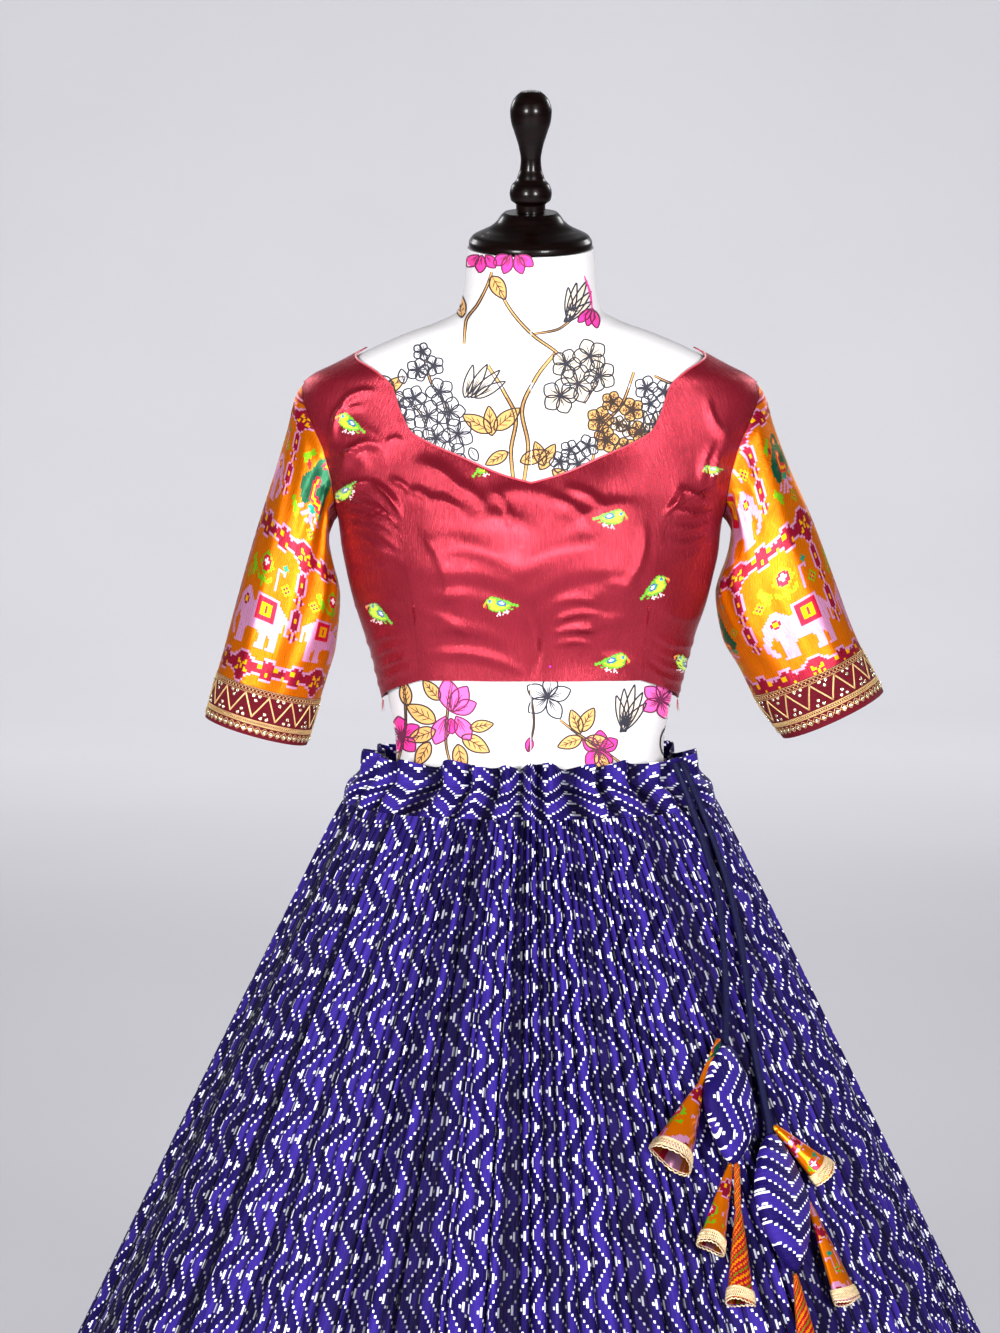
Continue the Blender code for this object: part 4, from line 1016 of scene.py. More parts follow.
def outside_radius(turn, height):
    """The outline that the skirt and waistband stay within, which the drawstring hangs against."""
    if height >= SKIRT_TOP:
        sizes = [float(column(BAND, BAND_COLUMNS, name, height)) for name in BAND_COLUMNS[1:]]
        return float(oval_radius(turn, *sizes[:3])) + sizes[3]
    grown = (SKIRT_TOP - height) / (SKIRT_TOP - SKIRT_HEM)
    oval = [top + (hem - top) * grown for top, hem in zip(SKIRT_TOP_OVAL, SKIRT_HEM_OVAL)]
    gather = float(table_at(GATHER_DEPTH, height))
    return float(oval_radius(turn, *oval)) + MEAN_FOLD * grown**FOLD_GROWTH + gather


def on_skirt(x, height, out):
    turn = math.radians(45)
    for _ in range(12):
        radius = outside_radius(turn, height) + out
        turn = math.asin(min(1.0, x / radius))
    return Vector((x, -radius * math.cos(turn), height)) * MM


def hung_place(top, foot):
    """A place midway between two points, its Z up along them and its Y into the skirt."""
    up = (top - foot).normalized()
    into = Vector((-top.x, -top.y, 0)).normalized()
    into = (into - up * into.dot(up)).normalized()
    across = into.cross(up)
    turn = Matrix((across, into, up)).transposed().to_4x4()
    return Matrix.Translation((top + foot) / 2) @ turn


def pouch_frame(name):
    pouch = POUCHES[name]
    top = on_skirt(*pouch["top"], pouch["out"])
    foot = on_skirt(*pouch["foot"], pouch["out"])
    return hung_place(top, foot), (top - foot).length / 2


def pouch_corner(name, corner):
    place, half_height = pouch_frame(name)
    aside = POUCHES[name]["half_width"] * MM
    corners = {"top": (0, 0, half_height), "foot": (0, 0, -half_height), "side": (aside, 0, 0)}
    return place @ Vector(corners[corner])


def cone_frame(name):
    """Where a cone hangs, from the middle of its tip down its own axis, with its length."""
    cone = dict(zip(CONE_COLUMNS, CONES[name]))
    anchor = pouch_corner(cone["pouch"], cone["corner"])
    beside = Vector((-anchor.y, anchor.x, 0)).normalized() * cone["aside"] * MM
    top = anchor + beside + Vector((0, 0, cone["above"])) * MM
    foot = on_skirt(cone["foot_x"], cone["foot_z"], cone["out"])
    length = (top - foot).length / MM
    return hung_place(top, foot) @ Matrix.Translation((0, 0, length / 2 * MM)), length, cone


def cord_cloth():
    look = Look("drawstring", linear(12, 12, 44), 0.7, Specular_IOR_Level=0.12)
    thread = look.noise((900, 900, 260))
    colour = look.mix(look.map(thread, 0.35, 0.65, 0, 1), linear(7, 7, 30), linear(16, 17, 56))
    return look.finish(Base_Color=colour, Normal=look.bump(thread, 0.0004, 0.6))


CORD_SEWN_IN = 2  # how far each cord's end goes into its pouch
CORD_STEP = 14


def build_cords():
    """The drawstring's two free ends, each a stitched tube of plain navy cloth, hanging by its weight."""
    material = cord_cloth()
    for name, route in CORD_ROUTES.items():
        x, height, out = route[-1]
        points = np.array([on_skirt(*row) for row in route + ((x, height - CORD_SEWN_IN, out),)])
        points = resample(points, even_shares(round(path_length(points) / MM / CORD_STEP)))
        curve = bpy.data.curves.new("cord_" + name, "CURVE")
        curve.dimensions = "3D"
        curve.bevel_depth = CORD_DIAMETER / 2 * MM
        curve.bevel_resolution = 4
        curve.use_fill_caps = True
        spline = curve.splines.new("POLY")
        spline.points.add(len(points) - 1)
        for place, point in zip(spline.points, points):
            place.co = (*point, 1)
        spline.use_smooth = True
        made = add_piece("cord_" + name, curve, material, [name])


POUCH_FULLNESS = 1.5
POUCH_CLEAR = 1.2
POUCH_SEGMENTS = 64
POUCH_RINGS = 40
CONE_SEGMENTS = 60
CONE_WALL = 0.9
CONE_TWIST = 5.5
CONE_ROWS = 60


def build_pouches(material):
    """Puffed diamonds of skirt cloth: two faces sewn round their edge, with creases that run in from it."""
    made = {}
    around = circle(POUCH_SEGMENTS)
    level = np.linspace(0, math.pi, POUCH_RINGS)[:, None]
    spread = np.sin(level) ** 0.9
    sides = np.abs(np.cos(around)) ** POUCH_FULLNESS + np.abs(np.sin(around)) ** POUCH_FULLNESS
    reach = spread * sides ** (-1 / POUCH_FULLNESS)
    for number, (name, pouch) in enumerate(POUCHES.items()):
        place, half_height = pouch_frame(name)
        half_height = half_height / MM - POUCH_CLEAR
        half_depth = pouch["half_depth"]
        crease = 1 + 0.05 * np.sin(around * 9 + number) * spread**3 + 0.03 * np.sin(around * 17) * spread**4
        x = reach * np.sin(around) * pouch["half_width"]
        z = reach * np.cos(around) * half_height
        y = -np.cos(level) * half_depth * crease
        y = np.sign(y) * np.abs(y / half_depth) ** 0.85 * half_depth
        front = np.array([[[0, -half_depth, 0]]]).repeat(POUCH_SEGMENTS, axis=1)
        points = np.concatenate([front, np.stack([x, y, z], axis=-1)[1:-1], -front])
        mesh = new_mesh("puff_" + name, points, quads(len(points), POUCH_SEGMENTS, True).reshape(-1, 4))
        flat = points[..., [2, 0] if number else [0, 2]] * MM
        add_uv(mesh, corner_values(flat, True))
        add_colours(mesh, np.ones((len(mesh.loops), 3)))
        mesh.transform(place)
        made[name] = add_piece("puff_" + name, mesh, material, [name])
    return made


# Each cone's cloth: the chart's columns and rows where its piece was cut, or None for the striped cloth.
CONE_CUTS = {"cone_1": (15, 37), "cone_2": (14, 55), "cone_3": None, "cone_4": (8, 55), "cone_5": (20, 52),
             "cone_6": None}
STRIPES = ((linear(186, 10, 40), 3.6), (linear(245, 150, 0), 1.6), (linear(186, 10, 40), 3.2),
           (linear(90, 160, 0), 1.6), (linear(186, 10, 40), 3.4), (linear(245, 150, 0), 2.6))
STRIPES_ROUND = 3
CONE_CELL = 1.8
CONE_CELLS_ROUND = 30
# How dark each cone's inside faces are drawn: painted shade of its hollow, with the cloth's duller wrong
# side.
CONE_INSIDE_SHADE = 0.3


def cone_rings(length, neck, half_width):
    """The cone's outer profile, its tip first: how far down, and its radius."""
    down = np.linspace(0, 1, CONE_ROWS) * length
    thin = CONE_NECK_RADIUS
    flare = np.clip((down - neck) / (length - neck), 0, 1)
    radius = thin + (half_width - thin) * (0.25 * flare**0.6 + 0.75 * flare)
    radius = radius * np.clip(down / 3, 0.05, 1) ** 0.5
    return down, radius


def cone_colours(cut, down, turns):
    """The colours of a cone's cloth: stripes that wind round it, or the sleeves' chart where it is cut."""
    if cut:
        columns = (turns / (2 * math.pi) * CONE_CELLS_ROUND).astype(int)[None] + cut[0]
        rows = (down / CONE_CELL).astype(int) + cut[1]
        return chart_colours(*np.broadcast_arrays(rows, columns))
    repeat = sum(width for _, width in STRIPES)
    band = (down + turns[None] * STRIPES_ROUND * repeat / (2 * math.pi)) % repeat
    colours = np.zeros(band.shape + (3,))
    low = 0
    for colour, width in STRIPES:
        colours[(band >= low) & (band < low + width)] = colour
        low += width
    return colours


def build_cones(cloth, lace):
    turns = circle(CONE_SEGMENTS)
    for number, name in enumerate(CONES):
        place, length, cone = cone_frame(name)
        neck = cone["neck"]
        down, radius = cone_rings(length, neck, cone["half_width"])
        down = down[:, None]
        share = down / length
        angle = turns[None] + np.clip((neck - down) / max(neck, 1), 0, 1) * CONE_TWIST
        ply = 1 + 0.22 * np.cos(3 * angle) * np.clip((neck - down) / 6, 0, 1)
        soft = 1 + 0.05 * np.cos(2 * turns + number)[None] * share**2
        soft = soft + 0.035 * np.cos(5 * turns + 2 * number)[None] * share**3
        wide = radius[:, None] * ply * soft
        droop = 1.5 * np.cos(2 * turns + number)[None] * share**4
        outer = np.stack([wide * np.sin(angle), -wide * np.cos(angle) * CONE_FLATNESS, droop - down], axis=-1)
        inner = outer.copy()
        inner[..., :2] *= (1 - CONE_WALL / np.maximum(wide, 1.6))[..., None]
        inner[..., 2] += 0.1
        colours = cone_colours(CONE_CUTS[name], down[:-1], turns)
        piece = shell("cloth_" + name, outer, CONE_WALL, cloth, [name], closed=True,
                      inner=inner, colours=colours, inner_step=6, inner_shade=CONE_INSIDE_SHADE)
        piece.data.transform(place)
        build_lace(name.replace("cone", "cone_lace"), outer, length, place, lace)


LACE_LOOPS = 22
LACE_POINTS = 176
LACE_THREAD = 0.55


def tube_along(path, radius, sides=5, closed=False):
    """Points and quads of a thin tube along a path in millimetres."""
    path = np.asarray(path, float)
    if closed:
        step = np.roll(path, -1, axis=0) - np.roll(path, 1, axis=0)
    else:
        step = np.gradient(path, axis=0)
    step = unit(step)
    upright = np.array([[0, 0, 1.0]])
    side = unit(np.cross(step, np.where(np.abs(step[:, 2:]) < 0.9, upright, upright[:, ::-1])))
    up = np.cross(side, step)
    angles = circle(sides)[None, :, None]
    ring = np.cos(angles) * side[:, None] + np.sin(angles) * up[:, None]
    points = path[:, None] + ring * radius
    face = quads(len(path), sides, True).reshape(-1, 4)
    if closed:
        last = np.arange(sides)
        after = (last + 1) % sides
        start = (len(path) - 1) * sides
        face = np.concatenate([face, np.stack([start + last, last, after, start + after], axis=1)])
    return points.reshape(-1, 3), face


class Pile:
    """Many small pieces gathered into one mesh."""

    def __init__(self):
        self.points, self.faces, self.count = [], [], 0

    def add(self, points, faces):
        self.points.append(np.asarray(points, float).reshape(-1, 3))
        self.faces.append(np.asarray(faces) + self.count)
        self.count += len(self.points[-1])

    def mesh(self, name):
        return new_mesh(name, np.concatenate(self.points), np.concatenate(self.faces))


def build_lace(name, cone, length, place, material):
    """A crocheted rim: a braid along its top and rows of loops below, ending in small scallops."""
    pile = Pile()
    count = cone.shape[1]
    down = -cone[:, 0, 2]
    turns = circle(LACE_POINTS)
    number = turns / (2 * math.pi) * count % count
    first = number.astype(int)
    second = (first + 1) % count
    across = (number - first)[:, None]

    def at(depth, out):
        row = np.clip(np.interp(np.minimum(depth, length), down, np.arange(len(down))), 0, len(down) - 1)
        low = np.minimum(row.astype(int), len(down) - 2)
        part = (row - low)[:, None]
        ring = (cone[low, first] * (1 - across) + cone[low, second] * across) * (1 - part)
        ring = ring + (cone[low + 1, first] * (1 - across) + cone[low + 1, second] * across) * part
        ring = ring + unit(ring * (1, 1, 0)) * out[:, None]
        ring[:, 2] -= np.maximum(depth - length, 0)
        return ring

    top = length - LACE_HEIGHT
    rows = [(top + depth, 0.45, 0.9, 0.35, 0, LACE_THREAD * 0.7) for depth in (0.6, 1.7)]
    rows += [(top + 3.2 + row * 2.6, 1.45, 1.0, 0.4, row, LACE_THREAD) for row in range(3)]
    for depth, swing, out, lift, shift, thread in rows:
        for phase in (0, math.pi):
            wave = LACE_LOOPS * turns + phase + shift
            path = at(depth + swing * np.sin(wave), out + lift * np.cos(wave))
            pile.add(*tube_along(path, thread, 3, True))
    path = at(length + 1.2 + 1.1 * np.abs(np.sin(LACE_LOOPS / 2 * turns)), 0.9 + 0 * turns)
    pile.add(*tube_along(path, LACE_THREAD * 1.15, 4, True))
    mesh = pile.mesh("rim_" + name)
    mesh.transform(place)
    return add_piece("rim_" + name, mesh, material, [name])


def form_cloth():
    look = Look("form_cloth", linear(197, 195, 197), 0.8, Specular_IOR_Level=0.15)
    threads = look.math("ADD", look.noise((260, 260, 900), 2, 0.6), look.noise((1500, 1500, 120), 2, 0.6))
    return look.finish(Normal=look.bump(threads, 0.00025, 0.7))


FORM_LEVEL_STEP = 7.5
FORM_TURNS = 180


def build_form_cloth(material):
    """The dress form's torso, covered in white cotton."""
    heights = np.concatenate([[800, 801, 803, 806], np.arange(810, 1400, FORM_LEVEL_STEP),
                              np.arange(1400, NECK_TOP, 2.5), [NECK_TOP]])[::-1].astype(float)
    points = form_skin(circle(FORM_TURNS)[None], heights[:, None] + np.zeros(FORM_TURNS))
    rounding = 1 - 0.04 * np.clip((FORM_BOTTOM + 8 - heights) / 8, 0, 1) ** 2
    points[..., :2] *= rounding[:, None, None]
    vertices = np.concatenate([points.reshape(-1, 3), [points[0].mean(axis=0), points[-1].mean(axis=0)]])
    top = len(vertices) - 2
    low = top - FORM_TURNS
    faces = quads(len(heights), FORM_TURNS, True).reshape(-1, 4).tolist()
    for a in range(FORM_TURNS):
        b = (a + 1) % FORM_TURNS
        faces += [(a, b, top), (low + b, low + a, top + 1)]
    mesh = bpy.data.meshes.new("cloth_form")
    mesh.from_pydata((vertices * MM).tolist(), [], faces)
    mesh.polygons.foreach_set("use_smooth", np.full(len(mesh.polygons), True))
    mesh.set_sharp_from_angle(angle=math.radians(50))
    return add_piece("cloth_form", mesh, material, ["form_torso"])


CAMERA_MM = np.array(CAMERA_PLACE) * 1000
PHOTO_FOCAL = CAMERA_LENS / SENSOR * 1000
PHOTO_MIDDLE = (500, 666.5)


def sight(px, py):
    """The way in which the camera sees a place in the photograph, 1 long along the middle of its view."""
    right = (np.asarray(px, float) - PHOTO_MIDDLE[0]) / PHOTO_FOCAL
    up = (PHOTO_MIDDLE[1] - np.asarray(py, float)) / PHOTO_FOCAL
    cos, sin = math.cos(CAMERA_DOWN), math.sin(CAMERA_DOWN)
    return np.stack([right, cos + up * sin, up * cos - sin], axis=-1)


def seen(px, py):
    """The turn and height on the form's front that show at a place in the photograph."""
    ray = sight(px, py)
    depth = np.full(np.shape(ray[..., 0]), -80.0)
    for _ in range(8):
        reach = (depth - CAMERA_MM[1]) / ray[..., 1]
        x = CAMERA_MM[0] + ray[..., 0] * reach
        z = CAMERA_MM[2] + ray[..., 2] * reach
        level = z
        for _ in range(3):
            turn = turn_of(x, level)
            level = z - (form_skin(turn, level)[..., 2] - level)
        depth = form_skin(turn, level)[..., 1]
    return turn, level


# The colours printed on the form's cloth.
INKS = {
    "outline": linear(26, 26, 40),
    "grey": linear(34, 34, 46),
    "leaf": linear(206, 152, 88),
    "leaf_line": linear(48, 30, 20),
    "petal": linear(228, 44, 142),
    "petal_line": linear(96, 8, 60),
    "orchid": linear(234, 88, 166),
    "cream": linear(200, 186, 168),
    "pale": linear(202, 199, 202),
    "heart": linear(190, 120, 40),
}


STROKE = 1.5
PETALS = 5


def beside(path):
    """A unit step to one side of a flat path, at each of its points."""
    step = unit(np.gradient(path, axis=0))
    return np.stack([-step[:, 1], step[:, 0]], axis=1)


def leaf_veins():
    """A midrib with short side veins, in shares of a leaf's length and width."""
    rows = [((0.04, 0), (0.5, 0.02), (0.9, 0))]
    for at in (0.22, 0.4, 0.58):
        for side in (-1, 1):
            rows.append(((at, 0), (at + 0.17, side * 0.34 * (1.15 - at))))
    return rows


def petal_veins(count):
    """Short strokes that fan out from a petal's foot."""
    rows = []
    for k in range(count):
        side = (k + 1) / (count + 1) * 2 - 1
        reach = 0.66 - 0.3 * abs(side)
        rows.append(((0.1, 0.03 * side), (reach * 0.6, side * 0.2), (reach, side * 0.28)))
    return rows


class FormPrint:
    """Motifs printed on the form: filled patches and drawn lines in photograph places, laid on it."""

    def __init__(self, name, place):
        self.name = name
        self.place = place
        self.piles = {}
        self.layer = 0

    def gather(self, ink, places, faces, out):
        """Adds points that lie this far off the form, and the faces between them, to an ink's mesh."""
        points, found = self.piles.setdefault(ink, ([], []))
        first = len(points)
        points += [(x, y, out) for x, y in places]
        found += [[first + k for k in face] for face in faces]

    def lay(self, ink, outline, out):
        """A filled patch round its own middle, as rings that follow the surface."""
        outline = np.asarray(outline, float)
        middle = outline.mean(axis=0)
        rings = [middle + (outline - middle) * share for share in (1, 0.66, 0.33)]
        count = len(outline)
        faces = quads(3, count, True).reshape(-1, 4)[:, ::-1].tolist()
        faces += [[2 * count + i, 2 * count + (i + 1) % count, 3 * count] for i in range(count)]
        self.gather(ink, np.concatenate(rings + [middle[None]]), faces, out)

    def line(self, ink, rows, width, out=0.42, closed=False):
        """A drawn line through photograph places, thinner towards its ends."""
        rows = np.asarray(rows, float)
        if closed:
            rows = np.concatenate([rows, rows[:1]])
        count = max(4, int(path_length(rows) / 2.2))
        path = resample(rows, even_shares(count))
        half = width / 2 * (1 if closed else 0.45 + 0.55 * np.sin(math.pi * even_shares(count)))
        side = beside(path) * np.broadcast_to(half, (count + 1,))[:, None]
        places = np.stack([path - side, path + side], axis=1).reshape(-1, 2)
        self.gather(ink, places, quads(count + 1, 2, False).reshape(-1, 4).tolist(), out)

    def petal(self, x, y, angle, length, width, ink, line, tip, veins):
        """A petal from its foot at x, y, its outline and veins drawn over it."""
        share = np.linspace(0, 1, 9)
        half = width / 2 * np.sin(math.pi * share**tip) ** 0.8
        shape = np.stack([share * length, half], axis=1)
        shape = np.concatenate([shape, (shape * (1, -1))[::-1][1:-1]])
        turn = math.radians(angle)
        spin = np.array([[math.cos(turn), math.sin(turn)], [-math.sin(turn), math.cos(turn)]])
        shape = shape @ spin * (1, -1) + (x, y)
        if ink:
            self.layer += 1
            self.lay(ink, shape, 0.16 + 0.012 * (self.layer % 12))
        self.line(line, shape, STROKE, closed=True)
        for row in leaf_veins() if ink == "leaf" else petal_veins(veins):
            self.line(line, (np.array(row) * (length, width)) @ spin * (1, -1) + (x, y), STROKE * 0.6)

    def leaf(self, x, y, angle, length, width, tip=0.85):
        self.petal(x, y, angle, length, width, "leaf", "leaf_line", tip, 0)

    def bud(self, x, y, angle, length, width, tip, veins):
        self.petal(x, y, angle, length, width, "cream", "outline", tip, veins)

    def flower(self, x, y, size, ink, line, turn, heart):
        """A blossom with its heart and stamens."""
        for k in range(PETALS):
            self.petal(x, y, turn + 360 * k / PETALS, size, size * 0.85, ink, line, 1.25, 1)
        angles = circle(8)
        ring = np.stack([x + size * 0.17 * np.cos(angles), y + size * 0.17 * np.sin(angles)], axis=1)
        self.lay(heart, ring, 0.4)
        for k in range(2 * PETALS):
            spin = math.radians(turn + 180 * k / PETALS)
            self.line(line, [(x + size * reach * math.cos(spin), y + size * reach * math.sin(spin))
                             for reach in (0.2, 0.45)], 0.7)

    def branch(self, rows, width):
        """A stem with a tan body and a dark line on both sides."""
        path = resample(np.asarray(rows, float), even_shares(24))
        side = beside(path) * width * 0.36
        for share in (-0.5, 0.0, 0.5):
            self.line("leaf", path + side * share, width * 0.45, 0.14)
        for edge in (side, -side):
            self.line("leaf_line", path + edge, 1.5, 0.3)

    def cluster(self, places, size, ink, line, heart="heart"):
        """A bunch of blossoms, each at its own place and turned its own way."""
        for number, (x, y) in enumerate(places):
            self.flower(x, y, size * (0.85 + 0.3 * ((number * 7) % 5) / 5), ink, line, 37 * number, heart)

    def finish(self):
        for ink, (points, faces) in self.piles.items():
            px, py, out = np.array(points).T
            points = form_point(*self.place(px, py), out)
            mesh = bpy.data.meshes.new("print_" + self.name + "_" + ink)
            mesh.from_pydata((points * MM).tolist(), [], faces)
            mesh.polygons.foreach_set("use_smooth", np.full(len(mesh.polygons), True))
            look = bpy.data.materials.get("ink_" + ink) or Look("ink_" + ink, INKS[ink], 0.75).material
            add_piece(mesh.name, mesh, look)


def print_chest(art):
    """The upper chest and neck: its own layout of blossoms, buds, leaves and stems."""
    art.branch(((382, 388), (402, 396), (424, 420), (430, 446)), 2.6)
    art.branch(((424, 352), (430, 380), (444, 404), (450, 440)), 2.6)
    art.branch(((514, 486), (511, 452), (516, 420), (504, 392), (488, 366)), 4.4)
    art.branch(((524, 482), (528, 446), (522, 412), (536, 378), (556, 352)), 4.4)
    art.branch(((592, 462), (600, 430), (622, 404), (634, 372)), 3.0)
    art.cluster(((422, 352), (434, 366), (418, 370)), 11, "pale", "grey")
    art.cluster(((414, 398), (440, 392), (428, 416), (404, 420), (450, 412), (412, 440), (436, 438),
                 (458, 434), (428, 458), (452, 456), (398, 404)), 15, "pale", "grey")
    for x, y, angle in ((404, 384, 100), (420, 378, 60), (392, 386, 140), (470, 448, 300), (398, 436, 200)):
        art.petal(x, y, angle, 15, 9, "pale", "grey", 0.9, 1)
    for angle in (28, 44, 60, 76):
        art.bud(470 - (angle - 50) * 0.2, 398, angle, 42 - abs(angle - 50) * 0.3, 9, 0.8, 2)
    for x, y, angle, long in ((492, 432, 150, 34), (494, 430, 40, 34), (492, 436, 96, 30),
                              (508, 452, 210, 26), (520, 462, 20, 30), (540, 470, 60, 30),
                              (544, 466, 110, 26), (552, 470, 330, 24)):
        art.leaf(x, y, angle, long, long * 0.46)
    art.cluster(((566, 364), (590, 356), (578, 384), (600, 376), (560, 396)), 18, "cream", "outline")
    art.cluster(((612, 402), (632, 410), (600, 420), (640, 432), (606, 440), (626, 448)), 13, "leaf",
                "leaf_line", "cream")
    art.cluster(((618, 424), (628, 428)), 10, "cream", "leaf_line")
    art.cluster(((570, 450), (588, 446), (578, 464), (560, 462)), 12, "pale", "grey")
    art.leaf(386, 412, 80, 32, 14, 0.8)
    art.leaf(384, 392, 35, 26, 12, 0.8)
    art.cluster(((650, 404), (664, 392), (656, 424), (670, 412), (646, 388)), 12, "pale", "grey")
    for angle in (66, 84, 102):
        art.bud(652, 446, angle, 36, 9, 0.85, 2)
    art.branch(((350, 396), (366, 388), (384, 386)), 2.4)
    art.branch(((360, 392), (366, 384), (364, 378)), 1.8)
    art.branch(((654, 376), (676, 384), (700, 384)), 2.4)
    art.branch(((676, 384), (682, 376), (690, 372)), 1.8)


def print_neck(art):
    for x, angle, long in ((479, 222, 17), (486, 306, 16), (482, 264, 18), (508, 214, 17), (519, 322, 18),
                           (511, 250, 20), (516, 288, 20)):
        art.petal(x, 255, angle, long, 11, "petal", "petal_line", 1.1, 2)
    art.leaf(492, 276, 300, 27, 15, 0.8)
    art.branch(((464, 344), (466, 322), (478, 304), (488, 284), (492, 272)), 3.0)
    art.branch(((500, 292), (512, 312), (534, 336), (556, 352), (570, 366)), 3.6)
    art.branch(((534, 334), (556, 330), (574, 318)), 2.4)
    art.leaf(462, 318, 96, 26, 11)
    for angle in (50, 64, 78, 92, 36):
        art.bud(566 + (angle - 60) * 0.1, 322, angle, 46 - abs(angle - 64) * 0.4, 8, 0.8, 2)
    for x, y, angle in ((591, 309, 226), (593, 310, 282), (592, 308, 256)):
        art.petal(x, y, angle, 19, 9, "petal", "petal_line", 1.0, 2)
    art.line("petal", ((592, 310), (590, 294), (584, 276)), 2.2)
    art.branch(((600, 352), (596, 380), (584, 404)), 2.6)


def print_midriff(art):
    for x, y, angle, long in ((452, 712, 60, 30), (452, 712, 100, 34), (452, 712, 20, 26),
                              (446, 716, 250, 30), (456, 716, 300, 28)):
        art.petal(x, y, angle, long, long * 0.6, "orchid", "petal_line", 1.1, 3)
    art.petal(451, 718, 275, 16, 12, "petal", "petal_line", 1.1, 2)
    for x, y, angle, long in ((436, 722, 150, 34), (436, 730, 200, 30), (462, 736, 330, 32),
                              (458, 744, 280, 30), (440, 700, 130, 26), (430, 742, 240, 28),
                              (470, 728, 10, 24)):
        art.leaf(x, y, angle, long, long * 0.5)
    art.branch(((452, 682), (448, 708), (446, 740), (452, 770)), 2.6)
    for angle in (20, 80, 150, 215, 300):
        art.petal(548, 698, angle, 24, 15, None, "outline", 1.1, 3)
    art.branch(((530, 690), (534, 722), (528, 752)), 1.8)
    art.petal(528, 752, 80, 15, 8, "petal", "petal_line", 1.0, 1)
    for x, y, angle, long in ((580, 732, 60, 28), (580, 734, 110, 26), (582, 738, 200, 26),
                              (584, 740, 350, 30), (596, 752, 300, 26)):
        art.leaf(x, y, angle, long, long * 0.5)
    for angle in (30, 90, 150, 225, 300):
        art.petal(600, 750, angle, 20, 14, "petal", "petal_line", 1.1, 3)
    art.branch(((560, 720), (578, 734), (600, 748), (622, 764)), 2.6)
    for angle in (48, 62, 76, 90, 104):
        art.bud(622 + (angle - 70) * 0.1, 732, angle, 50 - abs(angle - 74) * 0.4, 9, 0.85, 2)
    for angle in (10, 75, 140, 210, 290):
        art.petal(660, 700, angle, 20, 14, "orchid", "petal_line", 1.1, 3)
    art.bud(664, 756, 74, 40, 17, 0.9, 3)
    for angle in (30, 100, 170, 240, 310):
        art.petal(402, 736, angle, 20, 14, "petal", "petal_line", 1.1, 2)
    art.leaf(408, 706, 100, 26, 12)
    art.branch(((404, 684), (406, 720), (398, 764)), 2.2)


def behind(scale):
    """Places for a motif's copy on the form's back, turned about its own upright."""
    def place(px, py):
        turn, height = seen(px, py)
        return math.pi + turn * scale, height
    return place


def build_form_prints(material):
    for name, place in (("front", seen), ("back", behind(0.9))):
        art = FormPrint(name, place)
        print_chest(art)
        print_neck(art)
        print_midriff(art)
        art.finish()
    seam_path = form_point(np.zeros(300), np.linspace(1000, 1480, 300), np.full(300, 0.1))
    add_piece("seam_form", new_mesh("seam_form", *tube_along(seam_path, 0.45)), material)


def dark_wood():
    look = Look("dark_wood", linear(16, 6, 5), 0.3, Specular_IOR_Level=0.08, Coat_Weight=0.12,
                Coat_Roughness=0.06)
    grain = look.map(look.noise((60, 60, 420), 4, 0.55), 0.35, 0.7, 0, 1)
    return look.finish(Base_Color=look.mix(grain, linear(4, 1, 1), linear(13, 4, 3)))


def build_stand():
    wood = dark_wood()
    top = form_skin(circle(36), np.full(36, float(NECK_TOP))).mean(axis=0) * MM
    place = Matrix.Translation(Vector(top)) @ Matrix.Rotation(NECK_LEAN, 4, "X")
    dome = rounded_profile(CAP_PROFILE[1:], 1.5)
    cap = np.concatenate([[(0, 0.3), (54, 0.3), (54.4, 0.8), (54.6, 3), (54.3, 6)], dome, [(0, CAP_TOP)]])
    ball_top = FINIAL_PROFILE[-1][1]
    ball = rounded_profile(FINIAL_PROFILE, 1.3)
    finial = np.concatenate([[(0, SEAM)], ball, [(4, ball_top + 1.2), (0, ball_top + 1.6)]])
    base_top = BASE_PROFILE[-1][1]
    base = np.concatenate([[(0, 0)], BASE_PROFILE, [(0, base_top)]])
    low, high = base_top + SEAM, FORM_BOTTOM - SEAM
    pole = ((0, low), (POLE_RADIUS, low), (POLE_RADIUS, high), (0, high))
    on_cap = place @ Matrix.Translation((0, 0, CAP_TOP * MM))
    for name, profile, stands, spacing in (("neck_cap", cap, place, 1.6), ("finial", finial, on_cap, 1.6),
                                           ("base", base, Matrix(), 3), ("pole", pole, Matrix(), 8)):
        turned("wood_" + name, profile, wood, [name], stands, spacing=spacing)


